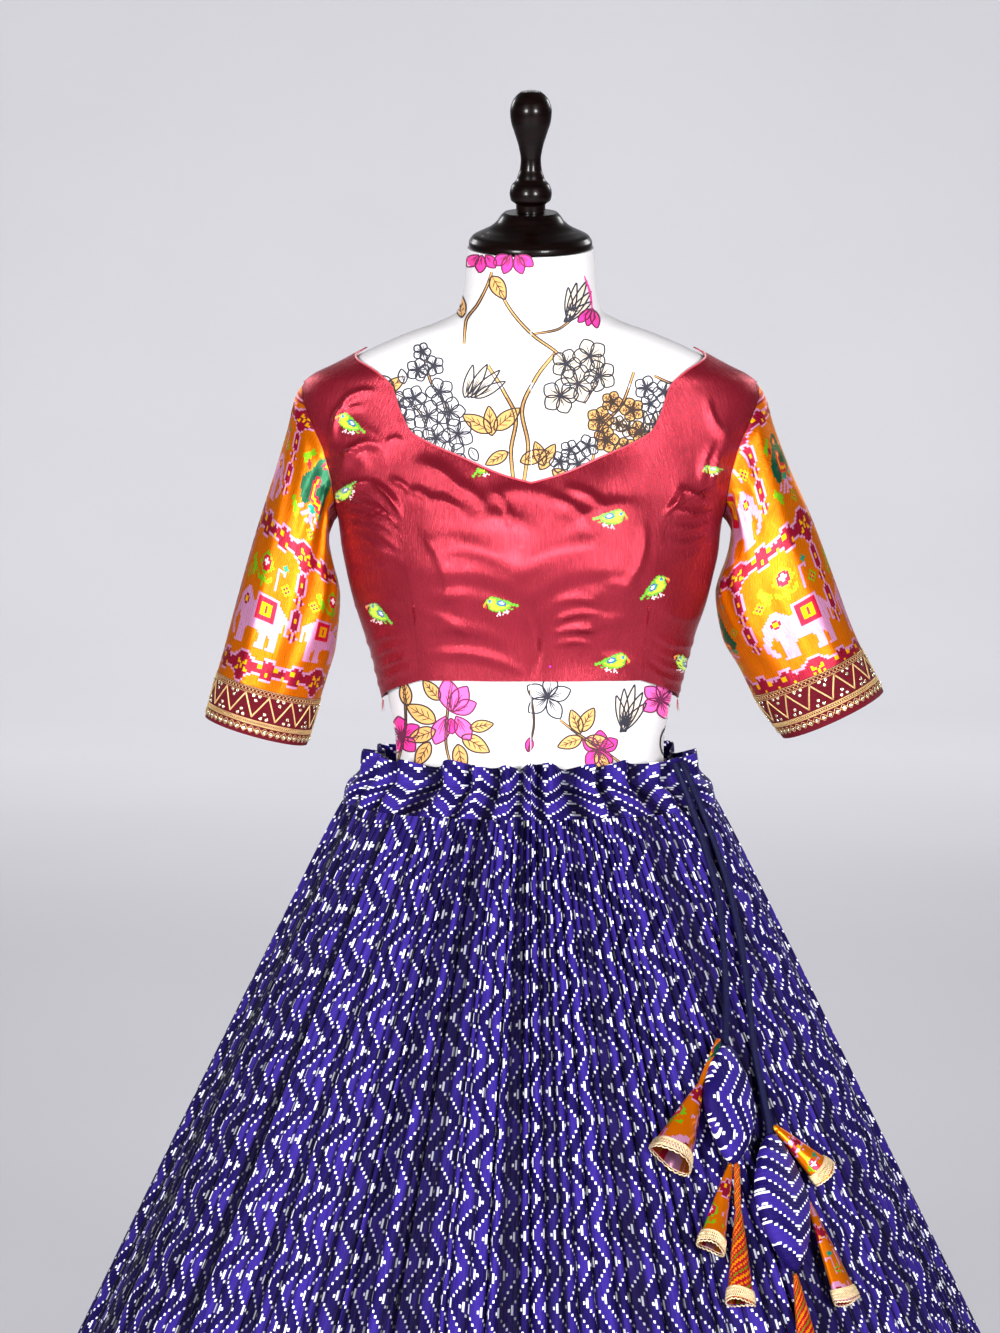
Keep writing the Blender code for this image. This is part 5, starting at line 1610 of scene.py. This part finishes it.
CELL = 2.1
SLEEVE_FINE = 6
SLEEVE_COLUMNS_ROUND = 24 * SLEEVE_FINE
CHART_COLOURS = {
    ".": linear(198, 98, 0),
    "Y": linear(228, 166, 0),
    "L": linear(204, 140, 182),
    "W": linear(250, 236, 248),
    "M": linear(140, 14, 46),
    "R": linear(196, 20, 54),
    "G": linear(4, 78, 56),
    "T": linear(0, 140, 112),
    "g": linear(112, 172, 20),
}
PARROT = """
.......GGG..........
......GGGGG.........
.....GGGRGGG........
.M...GGRYRGG........
MM...GGRYRGGG.......
MMM..GGGRGGGG.......
.MM.GGGGGGGGGG......
..M.GGGGGGGGGG......
...GGGGGGGGGGG......
..GGGGGRRGGGGGG.....
.GGGGGGRYRGGGGG.....
.GGGGGRRYRGGGGGG....
GGGGGGRYRRGGGGGG....
GGGGGGRYRGGGGGGGG...
GGGGGGRYRGGGGGGGG...
GGGGGGRYRGGGGGGGGG..
GGGGGGRYRRRGGGGGGG..
GGGGGGRYYYRRRGGGGGG.
.GGGGGRRRYYYYRGGGGG.
.GGGGGG..RRRYRGGGG..
.GGGGG.TTT.RRRGGG...
..GGG.TTTTT..TTT....
...L...LTTL...TTT...
..LL..LLLL.L...T....
.LL..LL.LL.LLL......
....LL..LL...LLL....
...LL..LLLL.........
......LL..LL........
"""
ELEPHANT = """
......LLL.....LLLLLLLLLLL.....
.....LLLLL....LRRRRRRRRRL.....
....LLLLLLL...LRRRRRRRRRLL....
...LLLMMLLLL..LRRYYYYYRRLLL...
..LLLMYYMLLLLLLRRYYRYYRRLLLL..
..LLLMYYMLLLLLLRRYYRYYRRLLLLL.
..LLLLMMLLLLLLLRRYYRYYRRLLLLLL
..LLLLLLLLLLLLLRRYYYYYRRLLLLLL
.LLLLLLLLLLLLLLRRRRRRRRRLLLL.L
.LLLLLLLLLLLLLLRRRRRRRRRLLLL.L
.LLL.LLLLLLLLLLLLLLLLLLLLLLL.L
LLL..LLLLLLLLLLLLLLLLLLLLLLL.L
LLL...LLLLLLLLLLLLLLLLLLLLL..L
LL....LLLLLLLLLLLLLLLLLLLLL...
LL....LLLLLL......LLLLLLLLL...
LLL...LLLLL........LLL.LLLL...
.LL...LLLLL........LLL..LLL...
.LLL..LLLLL........LLL..LLL...
..LL..LLLLL........LLL..LLL...
......LLLLL.......LLLL..LLL...
.....LLLLLL.......LLLL.LLLL...
"""
TREE = """
.....g.....
....ggg....
...gRRRg...
..gRRWRRg..
..gRWWWRg..
.ggRRWRRgg.
..gRRRRRg..
...gRRRg...
....ggg....
.g...g...g.
.gg.ggg.gg.
..ggggggg..
.....g.....
.....g.....
"""
SPRIG = """
.g...
gg...
ggg..
.ggg.
.gggg
..ggg
..gg.
...g.
"""
POST = """
LLLL
L..L
L...
L...
L...
L...
L...
L...
L...
"""
CROSS = """
..T..
.TTT.
..T..
"""
CHAIN = """
...L...
..LML..
.LMMML.
.LMMML.
.LMMML.
.LMYML.
.LMYML.
.LMMML.
.LMMML.
.LMMML.
..LML..
...L...
..MLM..
.LMYML.
..MLM..
...L...
"""
BAND_MARK = """
..Y...Y..
..YY.YY..
....Y....
..Y.Y.Y..
.YY...YY.
"""
BLOOM = """
..g..
.gRg.
gRYRg
.gRg.
..g..
"""
# Dots between a panel's corner and the next, in the band above it.
BAND_DOTS = """
YY...
YY...
.....
....Y
....Y
"""
# Each panel's figures: how far down and to the right they lie, and the kinds of panel that mirror them.
PARROT_PANEL = ((PARROT, 6, 2, ()), (CROSS, 3, 17, ()), (SPRIG, 28, -1, ()), (SPRIG, 5, 0, (1,)),
                (BLOOM, 16, 20, ()), (BLOOM, 34, 10, ()))
ELEPHANT_PANEL = ((TREE, 2, 6, ()), (POST, 6, 18, (0,)), (SPRIG, 6, 1, ()), (CROSS, 3, 19, ()),
                  (BLOOM, 11, -2, ()), (BLOOM, 10, 21, ()), (ELEPHANT, 18, -3, (0,)))
STRIPE_MARKS = "MMM..MMLM"
STRIPES_DEEP = len(STRIPE_MARKS)
REPEAT_ROWS = 53
BAND_DEEP = 12
PANEL_WIDE = 36


def put(grid, text, top, left, mirrored=False):
    """Lays a figure's marks over a chart; a full stop leaves what lies under it."""
    for down, row in enumerate(text.split()):
        for right, mark in enumerate(row[::-1] if mirrored else row):
            if mark != "." and 0 <= top + down < len(grid) and 0 <= left + right < len(grid[0]):
                grid[top + down][left + right] = mark


def sleeve_chart(rows, columns, origin):
    """The sleeve cloth's chart from the cap down; panels are counted from the column given."""
    grid = [[STRIPE_MARKS[r] if r < STRIPES_DEEP else "."] * columns for r in range(rows)]
    for number, start in enumerate(range(STRIPES_DEEP, rows, REPEAT_ROWS)):
        shift = origin + (number % 2) * PANEL_WIDE // 2
        for c in range(columns):
            along = (c - shift) % PANEL_WIDE
            near = min(along, PANEL_WIDE - along)
            step = 2 + 2 * (min(near, abs(near - 12)) // 3 < 1) + max(0, 3 - near // 2)
            low = 6 + step
            high = max(5 - step, 0)
            for r in range(high, min(low + 1, rows - start)):
                edge = r in (high, low) or (r <= 6 - step and near % 3 == 2)
                grid[start + r][c] = "L" if edge else "M"
        for panel in range(-2, columns // PANEL_WIDE + 3):
            chain = shift + panel * PANEL_WIDE
            put(grid, BAND_MARK, start + 4, chain - 4)
            for dot in (8, 15, 22):
                put(grid, BAND_DOTS, start + 4, chain + dot)
            for link in range(3):
                top = start + BAND_DEEP + 1 + link * 16
                if link < 2 or top + 12 < start + REPEAT_ROWS:
                    put(grid, CHAIN, top, chain - 3)
            kind = (panel + 1 + 2 * number) % 3
            for figure, down, right, mirrored in PARROT_PANEL if kind == 1 else ELEPHANT_PANEL:
                put(grid, figure, start + BAND_DEEP + down, chain + 7 + right, kind in mirrored)
    return grid


def coloured(chart):
    return np.array([[CHART_COLOURS[mark] for mark in row] for row in chart])


def sleeve_rings(table):
    """The sleeve's outer rings on the right side, the armhole's first; the top of the arm is column 0."""
    front = choli_edges(SLEEVE_FINE)["armhole"]
    turn, height = np.concatenate([front, behind_form(front)[::-1][1:-1]]).T
    ring = form_point(turn, height, clearance(turn, height) + CLOTH)
    count = len(ring)
    middle = (ring[0] + ring[count // 2]) / 2
    rings = [ring + unit(middle - ring) * SLEEVE_SEAM + (SEAM, 0, 0)]
    angles = np.arange(count) * 2 * math.pi / count
    for number, (outer_x, outer_z, inner_x, inner_z, half_depth) in enumerate(table):
        top = np.array([outer_x, 0, outer_z], float)
        bottom = np.array([inner_x, 0, inner_z], float)
        centre = (top + bottom) / 2
        oval = centre + np.cos(angles)[:, None] * (top - bottom) / 2
        oval[:, 1] = -np.sin(angles) * half_depth
        if number < len(SLEEVE_BLEND):
            share = SLEEVE_BLEND[number]
            oval = (1 - share) * (ring - middle + centre) + share * oval
        rings.append(oval)
    return np.array(rings)


# Soft folds in a sleeve: where round it from the top of the arm, how far down from the armhole, how much
# they lean, how deep they are, and how long and how broad.
SLEEVE_FOLDS = (
    (96, 40, -0.35, 2.2, 60, 9), (118, 70, -0.5, 2.0, 70, 8), (74, 58, 0.2, 1.6, 55, 10),
    (138, 48, -0.7, 2.4, 45, 8),
    (108, 130, -0.25, 1.9, 90, 11), (78, 150, 0.15, 1.6, 80, 12), (132, 150, -0.3, 1.8, 70, 10),
    (52, 110, 0.2, 1.4, 80, 12), (92, 205, -0.1, 1.5, 70, 11), (122, 215, -0.25, 1.6, 60, 9),
    (150, 90, -0.8, 2.2, 45, 7), (158, 140, -0.5, 2.0, 60, 8), (60, 225, 0.1, 1.4, 60, 11),
    (210, 60, 0.6, 2.2, 50, 9), (235, 120, 0.3, 1.8, 80, 12), (262, 70, -0.2, 1.6, 60, 11),
    (285, 170, 0.2, 1.7, 80, 12), (225, 200, 0.3, 1.8, 70, 11), (310, 120, 0.1, 1.3, 80, 13),
)


def sleeve_folds(angle, down, start, mirrored):
    degrees = np.degrees(angle) % 360
    found = np.zeros(np.broadcast(degrees, down).shape)
    for number, (at, from_top, lean, depth, long, broad) in enumerate(SLEEVE_FOLDS):
        at = at + (9 * math.sin(number * 2.1) if mirrored else 0)
        from_top = from_top + (14 * math.cos(number * 1.7) if mirrored else 0)
        centre = at + lean * (down - from_top) * 0.6
        away = (degrees - centre + 180) % 360 - 180
        found = found + depth * np.exp(-((away / broad) ** 2) - ((down - from_top) / long) ** 2)
    return found * rise(down - start, 0, 12)


# How far each of the first rings has turned from the armhole's slant to the rows that cross the arm.
SQUARED = (0, 0.1, 0.35, 0.7)
FAN = 0.01
SLEEVE_FOLD_STRENGTH = 1.6


class Sleeve:
    """A sleeve's outer surface, by the angle round it from the top of the arm and the way down the arm."""

    def __init__(self, side, table):
        self.side = side
        rings = sleeve_rings(table)
        at = rows_apart(rings)
        along = rings @ unit(rings[-1].mean(axis=0) - rings[0].mean(axis=0))
        squared = np.ones(len(rings))
        squared[:len(SQUARED)] = SQUARED
        along = along + squared[:, None] * (along.mean(axis=1, keepdims=True) - along)
        along -= along.min()
        fine = np.linspace(0, at[-1], 600)
        self.dense = smooth_column(at, rings, fine)
        self.along = np.maximum.accumulate(smooth_column(at, along, fine), axis=0)
        self.start = self.along[0]
        self.border = float(along[len(table) - BORDER_ROWS + 1].mean())
        self.length = float(along[-1].mean())

    def grid(self, downs, out=0.0, folded=1.0):
        """The surface at these distances down the arm, and where they lie above the armhole, on its edge."""
        downs = np.asarray(downs, float)
        count = self.dense.shape[1]
        points = np.zeros((len(downs), count, 3))
        reached = np.zeros((len(downs), count))
        for j in range(count):
            wanted = np.maximum(downs, self.start[j] + FAN * np.arange(len(downs)))
            index = np.interp(wanted, self.along[:, j], np.arange(len(self.dense)))
            low = np.minimum(index.astype(int), len(self.dense) - 2)
            part = (index - low)[:, None]
            points[:, j] = self.dense[low, j] * (1 - part) + self.dense[low + 1, j] * part
            reached[:, j] = wanted
        away = unit(points - points.mean(axis=1, keepdims=True))
        angle = np.arange(count)[None] * 2 * math.pi / count
        fold = SLEEVE_FOLD_STRENGTH * sleeve_folds(angle, reached, self.start[None], self.side > 0) - 0.6
        fold = fold * folded * rise(self.border - reached, -30, 12) * rise(reached - self.start[None], -1, 10)
        points = points + away * (fold + out)[..., None]
        if self.side < 0:
            return points * (-1, 1, 1)
        return points[:, ::-1]

    def spread(self, path, out):
        """Points at angles and distances down, laid on the surface that far off it."""
        path = np.asarray(path, float)
        downs = np.linspace(path[:, 1].min(), path[:, 1].max() + 1e-6, 24)
        grid = self.grid(downs)
        if self.side > 0:
            grid = grid[:, ::-1]
        normals = grid_normals(grid, True) * (1 if self.side < 0 else -1)
        count = grid.shape[1]
        across = (path[:, 0] / (2 * math.pi) * count) % count
        down = np.interp(path[:, 1], downs, np.arange(len(downs)))
        i0 = np.minimum(down.astype(int), len(downs) - 2)
        j0 = across.astype(int) % count
        j1 = (j0 + 1) % count
        a, b = (down - i0)[:, None], (across - across.astype(int))[:, None]

        def blend(values):
            upper = values[i0, j0] * (1 - b) + values[i0, j1] * b
            lower = values[i0 + 1, j0] * (1 - b) + values[i0 + 1, j1] * b
            return upper * (1 - a) + lower * a

        return blend(grid) + blend(normals) * np.broadcast_to(out, len(path))[:, None]


def sleeve_satin():
    look = Look("sleeve_print", linear(240, 150, 30), 0.32, Specular_IOR_Level=0.4, Anisotropic=0.45,
                Specular_Tint=(1, 0.74, 0.36, 1))
    slub = look.noise((1300, 60, 1), 3, 0.6, "UV")
    colour = look.mix(look.map(slub, 0.3, 0.75, 0, 0.22), look.chart(), linear(160, 90, 40), "MULTIPLY")
    return satin_finish(look, colour, slub, 0.22, 0.36, 0.0007, 0.6, 0.0004)


def border_cloth():
    look = Look("sleeve_border", linear(86, 3, 20), 0.6, Specular_IOR_Level=0.15)
    tone = look.noise((500, 500, 1), 3, 0.6, "UV")
    colour = look.mix(look.map(tone, 0.3, 0.7, 0, 1), linear(72, 2, 16), linear(98, 5, 26))
    return look.finish(Base_Color=colour, Normal=look.bump(weave(look, 0.0011), 0.0003, 0.7))


def gold_thread(name="gold_thread", tone=(250, 224, 168), low=(198, 150, 80)):
    look = Look(name, linear(*tone), 0.38, Metallic=0.6, Specular_IOR_Level=0.6)
    twist = look.noise(1600, 1)
    colour = look.mix(look.map(twist, 0.3, 0.7, 0, 1), linear(*tone), linear(*low))
    return look.finish(Base_Color=colour, Normal=look.bump(twist, 0.0003, 0.5))


def sleeve_uv(points):
    across = lengths_along(points.swapaxes(0, 1)).T
    return np.stack([across, lengths_along(points)], axis=-1) * MM


ZIGZAG_MIDDLE = 16.5
ZIGZAG_TALL = 19.5
LATTICE_COUNT = 24
ZIGZAG_COUNT = 14
# A sequin's rings, its rim first: their radius and how high they stand.
SEQUIN_PROFILE = ((1.55, -0.1), (1.6, 0.15), (0.95, 0.4), (0.5, 0.05))
BORDER_GRID_ROWS = 24


def sequin_disks(sleeve, spots):
    """Dished disks at angles and distances down a sleeve."""
    disks = Pile()
    places = sleeve.spread(spots, 0.9)
    turns = circle(10)[:, None]
    for place, normal in zip(places, unit(sleeve.spread(spots, 2.4) - places)):
        side = unit(np.cross(normal, (0, 0, 1.0)))
        round_edge = np.cos(turns) * side + np.sin(turns) * np.cross(side, normal)
        grid = [place + round_edge * radius + normal * height for radius, height in SEQUIN_PROFILE]
        disks.add(grid, quads(len(grid), len(turns), True).reshape(-1, 4)[:, ::-1])
    return disks


def embroider(sleeve, word, gold, sequin):
    """The hem border's couched gold: a chain, a zigzag, a packed strip and a row of loops, with sequins."""
    pile = Pile()
    top = sleeve.border
    around = circle(528)

    def thread(downs, radius, out=0.45):
        path = sleeve.spread(np.stack(np.broadcast_arrays(around, top + downs), axis=1), out)
        pile.add(*tube_along(path, radius, 3, True))

    def swing(count, phase=0.0):
        return np.arcsin(np.sin(count * around + phase)) * 2 / math.pi

    both = (0, math.pi)
    zigzag = ZIGZAG_MIDDLE + swing(ZIGZAG_COUNT) * ZIGZAG_TALL / 2
    for phase in both:
        thread(3.2 + 1.8 * np.sin(44 * around + phase), 0.26)
    for down in (0.6, 5.8):
        thread(down, 0.26)
    for offset in (-0.75, 0.75):
        thread(zigzag + offset, 0.4)
    for phase in both:
        thread(zigzag + 0.9 * np.sin(150 * around + phase), 0.22, 0.7)
    for down in (29, 32.6):
        thread(down, 0.45)
    for phase in both:
        thread(30.8 + 1.3 * np.sin(70 * around + phase), 0.36)
    for phase in both:
        thread(37 + 3.3 * swing(LATTICE_COUNT, phase), 0.3, 0.5)
    add_piece("thread_" + word, pile.mesh("thread_" + word), gold)

    spots = []
    for k in range(2 * ZIGZAG_COUNT):
        angle = (k + 0.5) * math.pi / ZIGZAG_COUNT
        toward = -1 if k % 2 else 1
        base = ZIGZAG_MIDDLE - toward * 5.2
        for aside, above in ((0, 0), (0.056, 4.1 * toward), (-0.056, 4.1 * toward)):
            spots.append((angle + aside, top + base - above))
    for k in range(2 * LATTICE_COUNT):
        spots.append((k * math.pi / LATTICE_COUNT + math.pi / (2 * LATTICE_COUNT), top + 37.4))
    add_piece("sequins_" + word, sequin_disks(sleeve, spots).mesh("sequins_" + word), sequin)


def build_sleeves():
    satin_look, border_look = sleeve_satin(), border_cloth()
    gold = gold_thread()
    sequin = Look("sequin", linear(240, 226, 190), 0.2, Metallic=0.85).material
    for side, word, table, origin in ((-1, "left", SLEEVE_ON_LEFT, 22), (1, "right", SLEEVE_ON_RIGHT, 110)):
        sleeve = Sleeve(side, table)
        rows = round((sleeve.border - 0.2) / CELL)
        points = sleeve.grid(np.linspace(0.0, sleeve.border, rows + 1))
        colours = coloured(sleeve_chart(rows, SLEEVE_COLUMNS_ROUND, origin))
        made = shell("cloth_sleeve_" + word, points, 1.0, satin_look, ["sleeve_" + word],
                     closed=True, uv=sleeve_uv(points), colours=colours, inner_step=4)
        points = sleeve.grid(np.linspace(sleeve.border + SEAM, sleeve.length, BORDER_GRID_ROWS))
        made = shell("cloth_sleeve_border_" + word, points, 1.3, border_look,
                     ["sleeve_border_" + word], closed=True, uv=sleeve_uv(points), inner_step=6)
        embroider(sleeve, word, gold, sequin)
    return satin_look


def chart_colours(rows, columns):
    """The colours of the sleeve chart's cells at these rows and columns, which it repeats."""
    colours = coloured(sleeve_chart(2 * REPEAT_ROWS, 3 * PANEL_WIDE, 0))
    return colours[rows % len(colours), columns % (3 * PANEL_WIDE)]


# An embroidered parrot that looks to the left; a mark is this many pixels of the photograph.
STITCH = 1.5
BIRD = """
......ggg...............
....ggyyggg.............
...gyBByyyggg...........
..ogyBCyyygggg..........
.oo.gyyyyygbbbgg........
.or.gyyyygbCWWbggg......
..r.ggyyyygbCWWbggg.....
....gyyyyyygbbbbgggg....
.....gyyyyyyyyggyygggg..
......ggyyyyyyyyggg.gggg
........gggggggggg....gg
..........p.gg.p..gg....
.........pp..pppp.......
........p.p.p..p........
"""
BIRD_COLOURS = {
    "g": linear(92, 166, 18), "y": linear(188, 226, 30), "B": linear(26, 96, 170), "C": linear(20, 170, 190),
    "b": linear(30, 66, 160), "W": linear(240, 240, 246), "o": linear(240, 140, 30), "r": linear(210, 40, 40),
    "p": linear(240, 190, 196),
}
BEAD_PLACE = (550.0, 666.0)
LOOSE_THREADS = 14
# Where each bird sits in the photograph, its turn in degrees, which way it looks, and its size.
BIRDS = (
    (350, 424, 14, 1, 0.95), (486, 466, -24, -1, 0.95), (346, 492, -62, 1, 0.8), (611, 518, 12, -1, 1.0),
    (500, 605, -14, 1, 1.0), (655, 588, -22, -1, 1.0), (379, 614, 20, 1, 0.9), (613, 662, 8, -1, 1.0),
    (712, 470, -18, 1, 0.6), (684, 665, 30, 1, 0.8),
)
BACK_BIRDS = (
    (400, 470, 12, 1, 1.0), (520, 520, -16, -1, 1.0), (640, 470, 10, 1, 1.0), (440, 590, -10, -1, 1.0),
    (600, 610, 14, 1, 1.0), (500, 650, -6, 1, 0.95),
)


def choli_seen(px, py):
    """The turn and height of the choli's front that show at a place in the photograph."""
    turn, height = seen(px, py)
    ray = sight(px, py)
    for _ in range(3):
        surface = choli_surface(turn, height)
        off = surface - form_skin(turn, height)
        reach = (surface[..., 1] - CAMERA_MM[1]) / ray[..., 1]
        x = CAMERA_MM[0] + ray[..., 0] * reach - off[..., 0]
        z = CAMERA_MM[2] + ray[..., 2] * reach - off[..., 2]
        turn, height = turn_of(x, z), z
    return turn, height


def stitched(name, birds, behind):
    """Birds in flat stitches on the choli, one small patch for each mark of their chart."""
    points, colours = [], []
    rows = BIRD.split()
    for px, py, degrees, looks, size in birds:
        cos, sin = math.cos(math.radians(degrees)), math.sin(math.radians(degrees))
        for down, row in enumerate(rows):
            for right, mark in enumerate(row):
                if mark == ".":
                    continue
                corners = []
                for dx, dy in ((0, 0), (0, 1), (1, 1), (1, 0)):
                    x = (right + dx - len(row) / 2) * looks * STITCH * size
                    y = (down + dy - len(rows) / 2) * STITCH * size
                    corners.append((px + x * cos - y * sin, py + x * sin + y * cos))
                points.append(corners if looks > 0 else corners[::-1])
                colours.append(BIRD_COLOURS[mark])
    points = np.array(points)
    turn, height = choli_seen(points[..., 0], points[..., 1])
    keep = np.abs(turn).max(axis=1) < math.radians(83)
    if behind:
        turn, height = (math.pi - turn)[:, ::-1], height[:, ::-1]
    places = choli_surface(turn[keep], height[keep], 0.35)
    edge = np.interp(np.abs(places[..., 0]), *zip(*(BACK_NECKLINE if behind else NECKLINE)[::-1]))
    inside = (places[..., 2] < edge - 1).all(axis=1)
    keep[keep] = inside
    mesh = new_mesh(name, places[inside], np.arange(4 * inside.sum()).reshape(-1, 4))
    add_colours(mesh, np.repeat(np.array(colours)[keep][:, None], 4, axis=1))
    return mesh


def build_birds():
    look = Look("silk_floss", linear(130, 190, 30), 0.45, Sheen_Weight=0.3)
    floss = look.noise((1900, 1900, 500))
    colour = look.mix(look.map(floss, 0.3, 0.7, 0, 0.3), look.chart(), linear(60, 60, 30), "MULTIPLY")
    material = look.finish(Base_Color=colour, Normal=look.bump(floss, 0.0004, 0.6))
    for name, birds, behind in (("birds_front", BIRDS, False), ("birds_back", BACK_BIRDS, True)):
        add_piece(name, stitched(name, birds, behind), material)


def build_edges():
    """The fold along the neckline, the bead at the centre seam, and loose threads at the hem's sides."""
    edge_look = Look("satin_edge", linear(190, 40, 62), 0.32, Specular_IOR_Level=0.7, Sheen_Weight=0.3,
                     Metallic=0.25).material
    pile = Pile()
    front = sampled(NECKLINE, even_shares(150))[8:]
    front = np.concatenate([front[:-1] * (-1, 1), front[::-1]])
    back = sampled(BACK_NECKLINE, even_shares(150), behind=True)[8:]
    for path in (front, back[1:-1], (back * (-1, 1))[1:-1]):
        pile.add(*tube_along(choli_surface(path[:, 0], path[:, 1], -0.15), 0.85, 8))
    add_piece("edge_neck", pile.mesh("edge_neck"), edge_look)

    bead = Look("bead", linear(186, 40, 170), 0.12, Coat_Weight=1.0).material
    turn, height = choli_seen(*np.array(BEAD_PLACE)[:, None])
    centre = choli_surface(turn, height, 1.0)[0]
    turned("bead_front", [(0, -1.3), (0.9, -0.95), (1.3, 0), (0.9, 0.95), (0, 1.3)], bead, (),
           Matrix.Translation(Vector(centre) * MM), sides=16, spacing=0.3)

    threads = Look("loose_thread", linear(150, 30, 50), 0.5).material
    random = np.random.default_rng(SEED)
    pile = Pile()
    down = np.linspace(0, 1, 7)
    for side in (-1, 1):
        for _ in range(LOOSE_THREADS):
            turn = side * (math.radians(84) + random.uniform(-0.05, 0.03))
            start = choli_surface(np.array(turn), np.array(SIDE_HEM_HEIGHT + 0.6), -0.3)
            reach = random.uniform(3, 11)
            bend = random.uniform(-0.6, 0.6)
            across = side * 0.3 * down + bend * down * down * 2
            path = start + np.stack([across, -0.6 * down, -reach * down], axis=1)
            pile.add(*tube_along(path, 0.13, 3))
    add_piece("threads_hem", pile.mesh("threads_hem"), threads)


# Where each light stands, its width, its power, and where it points.
LIGHTS = (
    ("softbox_left", (-1.45, -3.0, 1.6), 0.9, 164, (0, 0, 1.1)),
    ("softbox_right", (1.45, -3.0, 1.6), 0.9, 164, (0, 0, 1.1)),
    ("rim_left", (-2.4, 2.6, 2.9), 1.2, 45, (0, 0, 1.0)),
    ("rim_right", (2.4, 2.6, 2.9), 1.2, 45, (0, 0, 1.0)),
    ("backdrop_left", (-4.0, 8.0, 6.0), 3.0, 240, (-1.5, 13.0, 0.8)),
    ("backdrop_right", (4.0, 8.0, 6.0), 3.0, 240, (1.5, 13.0, 0.8)),
    ("floor_fill", (0, 6.5, 6.0), 4.0, 220, (0, 8.5, 0)),
)
WORLD_STRENGTH = 0.15
# The backdrop: a floor that bends up into a wall, in millimetres.
FLOOR_LEVEL = -0.5
FLOOR_FRONT = -14000
WALL = 14000
WALL_TOP = 12000
WALL_HALF = 16000
SWEEP = 5000


def build_stage():
    """A pale floor that sweeps up into a backdrop, the photograph's two soft lights, and its camera."""
    rows = [(FLOOR_FRONT, FLOOR_LEVEL)]
    for angle in np.linspace(0, QUARTER, 13):
        rows.append((WALL - SWEEP + SWEEP * math.sin(angle), FLOOR_LEVEL + SWEEP * (1 - math.cos(angle))))
    rows.append((WALL, WALL_TOP))
    points = [[(x, y, z) for x in (WALL_HALF, -WALL_HALF)] for y, z in rows]
    mesh = new_mesh("backdrop", points, quads(len(rows), 2, False).reshape(-1, 4))
    look = Look("backdrop", linear(194, 193, 198), 0.9)
    colour = look.mix(look.noise(0.7), linear(191, 190, 196), linear(198, 197, 202))
    mesh.materials.append(look.finish(Base_Color=colour))
    add_object("backdrop", mesh)

    for name, place, size, power, aim in LIGHTS:
        lamp = bpy.data.lights.new(name, "AREA")
        lamp.shape = "DISK"
        lamp.size = size
        lamp.energy = power
        made = add_object(name, lamp)
        made.location = place
        made.rotation_euler = (Vector(aim) - Vector(place)).to_track_quat("-Z", "Y").to_euler()

    world = bpy.data.worlds.new("studio")
    world.use_nodes = True
    world.node_tree.nodes["Background"].inputs[0].default_value = (0.93, 0.94, 1, 1)
    world.node_tree.nodes["Background"].inputs[1].default_value = WORLD_STRENGTH
    bpy.context.scene.world = world

    camera = bpy.data.cameras.new("camera")
    camera.sensor_fit = "HORIZONTAL"
    camera.sensor_width = SENSOR
    camera.lens = CAMERA_LENS
    camera.clip_end = 50
    made = add_object("camera", camera)
    made.location = CAMERA_PLACE
    made.rotation_euler = (math.pi / 2 - CAMERA_DOWN, 0, 0)
    bpy.context.scene.camera = made
    bpy.context.scene.view_settings.view_transform = "Standard"


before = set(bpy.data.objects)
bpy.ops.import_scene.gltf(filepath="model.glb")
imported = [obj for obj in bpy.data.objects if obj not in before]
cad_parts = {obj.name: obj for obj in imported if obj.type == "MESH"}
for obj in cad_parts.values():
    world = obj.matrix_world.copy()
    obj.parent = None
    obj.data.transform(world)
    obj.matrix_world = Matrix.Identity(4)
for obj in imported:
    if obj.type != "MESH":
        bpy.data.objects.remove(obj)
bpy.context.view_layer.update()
skirt_cloth = zigzag_print()
cotton = form_cloth()
build_form_cloth(cotton)
build_form_prints(cotton)
build_stand()
build_choli()
build_edges()
build_birds()
sleeve_cloth = build_sleeves()
build_waistband(skirt_cloth)
build_skirt(skirt_cloth)
pouches = build_pouches(skirt_cloth)
build_cones(sleeve_cloth, gold_thread("lace", (242, 222, 184), (204, 176, 130)))
build_cords()
build_stage()
